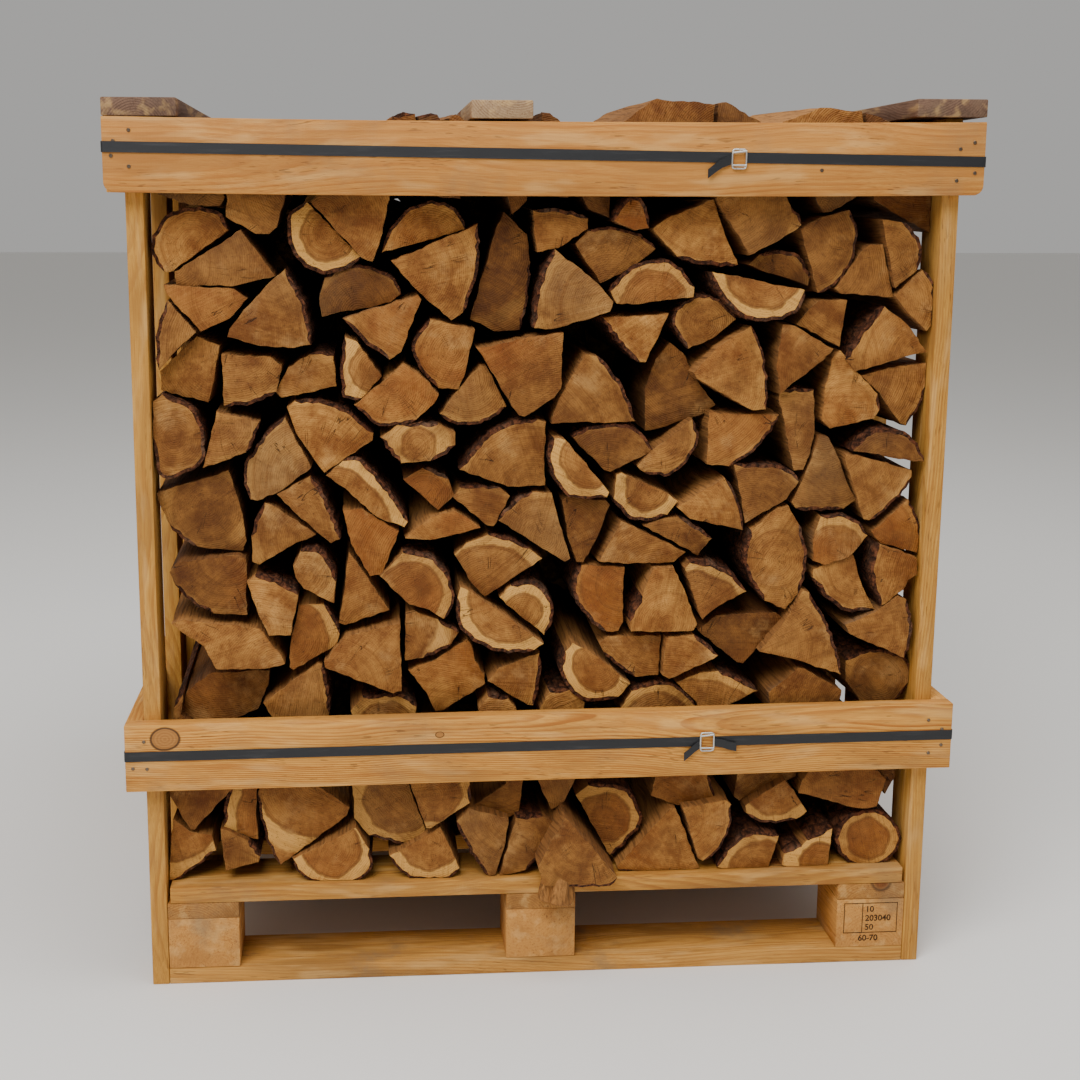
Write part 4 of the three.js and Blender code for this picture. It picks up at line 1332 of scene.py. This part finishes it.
def courses(logs, height):
    """Sorts logs into groups by how high they lie."""
    groups = {}
    for log in logs:
        low = sum(corner[1] for corner in log[1:]) / len(log[1:])
        groups.setdefault(int((low - LOWEST_CORNER) // height), []).append(log)
    return [groups[key] for key in sorted(groups)]


def mirrored(log):
    """A log's outline seen from behind; the bark mark of each step moves to its other end."""
    corners = log[1:]
    marks = [corner[2:] for corner in corners]
    swapped = [(-corner[0], corner[1], *marks[i - 1]) for i, corner in enumerate(corners)]
    return (log[0], *swapped[::-1])


def log_woods():
    """The finishes of a log, in the order of END_GRAIN, SPLIT_FACE and BARK."""
    return [finish(end_grain), finish(split_grain, "log_split_face", Y), finish(bark)]


def log_row(row, logs, spacing, front_y, stations, fine, facing_back, shape, limit):
    """One of the three rows of logs, in a few pieces; a coarse row has higher pieces and plain ends."""
    woods = log_woods()
    for number, course in enumerate(courses(logs, COURSE_HEIGHT if fine else COURSE_HEIGHT * 3)):
        chance = random.Random(f"{shape.seed} {row} {number}")
        plans = [LogPlan(log[0], list(log[1:]), spacing, chance, row) for log in course]
        piece = model_logs(plans, front_y, stations, fine, facing_back, limit)
        keep(piece, f"firewood_{row}_course_{number + 1}", woods)
    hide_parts(f"firewood_row_{row}")


def build_front_logs(shape):
    spacing = shape.point_spacing / MM
    log_row("front", ALL_LOGS, spacing, END_PLANE, LOG_STATIONS, True, False, shape, OUTER_FACE)


def build_middle_logs(shape):
    logs = [mirrored(log) for log in ALL_LOGS]
    spacing = shape.point_spacing / MM * 2
    log_row("middle", logs, spacing, -LOG_LENGTH / 2, COARSE_STATIONS, False, False, shape, None)


def build_rear_logs(shape):
    spacing = shape.point_spacing / MM
    front_y = -END_PLANE - LOG_LENGTH
    log_row("rear", ALL_LOGS, spacing, front_y, LOG_STATIONS[::-1], True, True, shape, OUTER_FACE)


def build_overhanging_log(shape):
    """The log that sticks out over the deck, with the stump of a branch under its end."""
    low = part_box("log_overhanging")[0]
    chance = random.Random(f"{shape.seed} overhanging")
    plan = LogPlan("brown", list(OVERHANGING_END), shape.point_spacing / MM, chance, "overhanging")
    plan.setback = 0.0
    plan.swell = 0.0
    body = model_logs([plan], low.y + 15 * MM, LOG_STATIONS, True)
    clear_selection()
    reach = STUMP_FOOT - STUMP_TOP
    bpy.ops.mesh.primitive_cone_add(
        vertices=36, radius1=24 * MM, radius2=23.5 * MM, depth=reach.length,
        location=(STUMP_TOP + STUMP_FOOT) / 2, rotation=reach.to_track_quat("Z", "Y").to_euler())
    stump = bpy.context.object
    apply_place()
    bevel_sharp(60, 6 * MM, 3)
    bpy.ops.mesh.select_all(action="SELECT")
    bpy.ops.mesh.subdivide(number_cuts=5)
    bpy.ops.object.mode_set(mode="OBJECT")
    spots = points_of(stump)
    axis = np.array(reach) / reach.length
    run = (spots - np.array(STUMP_TOP)) @ axis
    centre = np.array(STUMP_TOP) + np.outer(run, axis)
    turned = np.arctan2(spots[:, Y] - centre[:, 1], spots[:, X] - centre[:, 0])
    ridges = np.sin(turned * 5 + run * 30) * 0.05 + np.sin(turned * 9 + 1.3 + run * 55) * 0.035
    part_way = (run / reach.length).clip(0, 1)
    hollow = np.exp(-(((turned + 2.25) / 0.3) ** 2)) * np.clip(part_way * 3 - 1.5, 0, 1) * 0.42
    girth = 0.3 + 0.7 * np.sin(part_way * 1.75) - hollow + ridges
    spots = centre + (spots - centre) * girth[:, None]
    foot_rough = np.clip((run - 0.09) / 0.015, 0, 1)
    spots[:, Z] += foot_rough * (np.sin(spots[:, X] * 330) + np.sin(spots[:, Y] * 410)) * 2.2 * MM
    spots[:, Y] = spots[:, Y].clip(low.y, None)
    beside_deck = spots[:, Z] < DECK_FACE
    spots[beside_deck, Y] = spots[beside_deck, Y].clip(None, IN_FRONT_OF_DECK)
    set_points(stump, spots)
    paint(stump, "pith", np.tile((0.004, 0.14, 0.2), (len(spots), 1)))
    paint(stump, "tone", np.tile((0.95, 0.0, 0.3), (len(spots), 1)))
    paint(stump, "rim", np.zeros_like(spots))
    for wood in log_woods():
        body.data.materials.append(wood)
    stump.data.materials.append(finish(split_grain, "torn_stump_wood", Z))
    bpy.ops.object.shade_smooth_by_angle(angle=math.radians(50))
    whole = join_all([body, stump])
    whole.name = "log_overhanging_split"
    whole.data.name = whole.name
    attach(whole, "root")
    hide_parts("log_overhanging")


# ---------------------------------------------------------------- the stage
FLOOR_SIZE = 60.0
# The camera's pan, tilt and roll, in degrees.
CAMERA_TURNS = ((-4.21, "Z"), (79.88, "X"), (0.18, "Z"))
CAMERA_LENS = 51.98
CAMERA_SHIFT = (0.0567, -0.0555)


def build_stage(light):
    scene = bpy.context.scene
    clear_selection()
    bpy.ops.mesh.primitive_plane_add(size=FLOOR_SIZE)
    floor = bpy.context.object
    apply_place()
    floor.name = "studio_floor"
    floor.data.materials.append(finish(floor_paint, tuple(light.floor_colour)))

    world = bpy.data.worlds.new("studio_air")
    world.use_nodes = True
    air = world.node_tree.nodes["Background"]
    air.inputs["Color"].default_value = (*light.air_colour, 1.0)
    air.inputs["Strength"].default_value = light.air_strength
    scene.world = world

    for name, place, size, power, aim in (
        ("soft_key", (-1.6, -3.2, 4.2), 3.2, light.key_power, (0, -0.3, 0.5)),
        ("soft_top", (0.8, -0.6, 4.6), 3.0, light.key_power * 0.45, (0, 0, 0.6)),
    ):
        clear_selection()
        turn = (Vector(aim) - Vector(place)).to_track_quat("-Z", "Y").to_euler()
        bpy.ops.object.light_add(type="AREA", location=place, rotation=turn)
        lamp = bpy.context.object
        lamp.name = name
        lamp.data.shape = "DISK"
        lamp.data.size = size
        lamp.data.energy = power

    pan, tilt, roll = (Matrix.Rotation(math.radians(angle), 3, axis) for angle, axis in CAMERA_TURNS)
    bpy.ops.object.camera_add(location=CAMERA_PLACE, rotation=(pan @ tilt @ roll).to_euler())
    camera = bpy.context.object
    camera.name = "front_camera"
    camera.data.lens = CAMERA_LENS
    camera.data.sensor_width = 36.0
    camera.data.shift_x, camera.data.shift_y = CAMERA_SHIFT
    scene.camera = camera


# ---------------------------------------------------------------- the add-on
class FirewoodCrateShape(bpy.types.PropertyGroup):
    """Sizes and colours of the crate's boards, straps and nails."""

    eased_edge: FloatProperty(
        name="Eased edge", description="How far the boards' edges are worn round", default=1.2 * MM,
        min=0.0, unit="LENGTH")
    belt_corner: FloatProperty(
        name="Belt corner", description="Radius of the upper front board's lower corners", default=12 * MM,
        min=0.0, unit="LENGTH")
    strap_colour: FloatVectorProperty(
        name="Strap colour", description="Colour of the strapping", default=srgb(27, 28, 31), size=3,
        subtype="COLOR")
    wire_colour: FloatVectorProperty(
        name="Wire colour", description="Colour of the buckles' wire", default=srgb(205, 204, 198), size=3,
        subtype="COLOR")
    nail_colour: FloatVectorProperty(
        name="Nail colour", description="Colour of the nail heads", default=srgb(112, 98, 84), size=3,
        subtype="COLOR")
    ink_colour: FloatVectorProperty(
        name="Ink colour", description="Colour of the stamp on the block", default=srgb(52, 38, 28), size=3,
        subtype="COLOR")


class FirewoodLogShape(bpy.types.PropertyGroup):
    """How the logs are modelled."""

    seed: IntProperty(name="Seed", description="Chooses the logs' small irregularities", default=7)
    point_spacing: FloatProperty(
        name="Point spacing", description="Distance between the points round a log", default=7 * MM,
        min=2 * MM, unit="LENGTH")


class FirewoodStageLight(bpy.types.PropertyGroup):
    """The light and the floor."""

    floor_colour: FloatVectorProperty(
        name="Floor colour", description="Colour of the floor", default=srgb(232, 230, 226), size=3,
        subtype="COLOR")
    air_colour: FloatVectorProperty(
        name="Air colour", description="Colour of the light from all round", default=(1.0, 0.985, 0.96),
        size=3, subtype="COLOR")
    air_strength: FloatProperty(
        name="Air strength", description="Strength of the light from all round", default=0.42, min=0.0)
    key_power: FloatProperty(
        name="Key light", description="Power of the large soft lamp", default=235.0, min=0.0, unit="POWER")


class CrateOperator:
    """What the operators that model the crate have in common."""

    bl_options = {"REGISTER", "UNDO"}
    build = None
    settings = "crate_shape"

    def execute(self, context):
        type(self).build(getattr(context.scene, self.settings))
        return {"FINISHED"}


class OBJECT_OT_crate_pallet(CrateOperator, bpy.types.Operator):
    """Make the pallet: skids, blocks, stringers and deck boards"""

    bl_idname = "object.crate_pallet"
    bl_label = "Pallet"
    build = staticmethod(build_pallet)


class OBJECT_OT_crate_side_boards(CrateOperator, bpy.types.Operator):
    """Make the upright boards at both sides"""

    bl_idname = "object.crate_side_boards"
    bl_label = "Side Boards"
    build = staticmethod(build_side_boards)


class OBJECT_OT_crate_belts(CrateOperator, bpy.types.Operator):
    """Make the two rings of boards"""

    bl_idname = "object.crate_belts"
    bl_label = "Belts"
    build = staticmethod(build_belts)


class OBJECT_OT_crate_stacking_boards(CrateOperator, bpy.types.Operator):
    """Make the boards on top that carry the next crate"""

    bl_idname = "object.crate_stacking_boards"
    bl_label = "Stacking Boards"
    build = staticmethod(build_stacking_boards)


class OBJECT_OT_crate_straps(CrateOperator, bpy.types.Operator):
    """Make the straps round the belts, with their loose ends"""

    bl_idname = "object.crate_straps"
    bl_label = "Straps"
    build = staticmethod(build_straps)


class OBJECT_OT_crate_buckles(CrateOperator, bpy.types.Operator):
    """Make the wire buckles"""

    bl_idname = "object.crate_buckles"
    bl_label = "Buckles"
    build = staticmethod(build_buckles)


class OBJECT_OT_crate_nails(CrateOperator, bpy.types.Operator):
    """Make the nail heads in the belts"""

    bl_idname = "object.crate_nails"
    bl_label = "Nails"
    build = staticmethod(build_nails)


class OBJECT_OT_crate_stamp(CrateOperator, bpy.types.Operator):
    """Make the ink stamp on the right front block"""

    bl_idname = "object.crate_stamp"
    bl_label = "Ink Stamp"
    build = staticmethod(build_stamp)


class OBJECT_OT_crate_front_logs(CrateOperator, bpy.types.Operator):
    """Make the front row of logs"""

    bl_idname = "object.crate_front_logs"
    bl_label = "Front Logs"
    build = staticmethod(build_front_logs)
    settings = "crate_logs"


class OBJECT_OT_crate_middle_logs(CrateOperator, bpy.types.Operator):
    """Make the middle row of logs"""

    bl_idname = "object.crate_middle_logs"
    bl_label = "Middle Logs"
    build = staticmethod(build_middle_logs)
    settings = "crate_logs"


class OBJECT_OT_crate_rear_logs(CrateOperator, bpy.types.Operator):
    """Make the rear row of logs"""

    bl_idname = "object.crate_rear_logs"
    bl_label = "Rear Logs"
    build = staticmethod(build_rear_logs)
    settings = "crate_logs"


class OBJECT_OT_crate_overhanging_log(CrateOperator, bpy.types.Operator):
    """Make the log that sticks out over the deck"""

    bl_idname = "object.crate_overhanging_log"
    bl_label = "Overhanging Log"
    build = staticmethod(build_overhanging_log)
    settings = "crate_logs"


class OBJECT_OT_crate_stage(CrateOperator, bpy.types.Operator):
    """Make the floor, the lamps and the camera"""

    bl_idname = "object.crate_stage"
    bl_label = "Stage"
    build = staticmethod(build_stage)
    settings = "crate_light"


OPERATORS = (
    OBJECT_OT_crate_pallet,
    OBJECT_OT_crate_side_boards,
    OBJECT_OT_crate_belts,
    OBJECT_OT_crate_stacking_boards,
    OBJECT_OT_crate_straps,
    OBJECT_OT_crate_buckles,
    OBJECT_OT_crate_nails,
    OBJECT_OT_crate_stamp,
    OBJECT_OT_crate_front_logs,
    OBJECT_OT_crate_middle_logs,
    OBJECT_OT_crate_rear_logs,
    OBJECT_OT_crate_overhanging_log,
    OBJECT_OT_crate_stage,
)


class VIEW3D_PT_firewood_crate(bpy.types.Panel):
    """Lists the steps that make the crate"""

    bl_label = "Firewood Crate"
    bl_space_type = "VIEW_3D"
    bl_region_type = "UI"
    bl_category = "Firewood"

    def draw(self, context):
        for owner, names in (
            (context.scene.crate_shape, FirewoodCrateShape.__annotations__),
            (context.scene.crate_logs, FirewoodLogShape.__annotations__),
            (context.scene.crate_light, FirewoodStageLight.__annotations__),
        ):
            for name in names:
                self.layout.prop(owner, name)
        for operator in OPERATORS:
            self.layout.operator(operator.bl_idname)


CLASSES = (FirewoodCrateShape, FirewoodLogShape, FirewoodStageLight, *OPERATORS, VIEW3D_PT_firewood_crate)


def register():
    for each in CLASSES:
        bpy.utils.register_class(each)
    bpy.types.Scene.crate_shape = PointerProperty(type=FirewoodCrateShape)
    bpy.types.Scene.crate_logs = PointerProperty(type=FirewoodLogShape)
    bpy.types.Scene.crate_light = PointerProperty(type=FirewoodStageLight)


def unregister():
    del bpy.types.Scene.crate_light
    del bpy.types.Scene.crate_logs
    del bpy.types.Scene.crate_shape
    for each in reversed(CLASSES):
        bpy.utils.unregister_class(each)


def main():
    register()
    for operator in OPERATORS:
        group, name = operator.bl_idname.split(".")
        getattr(getattr(bpy.ops, group), name)()


if __name__ == "__main__":
    main()
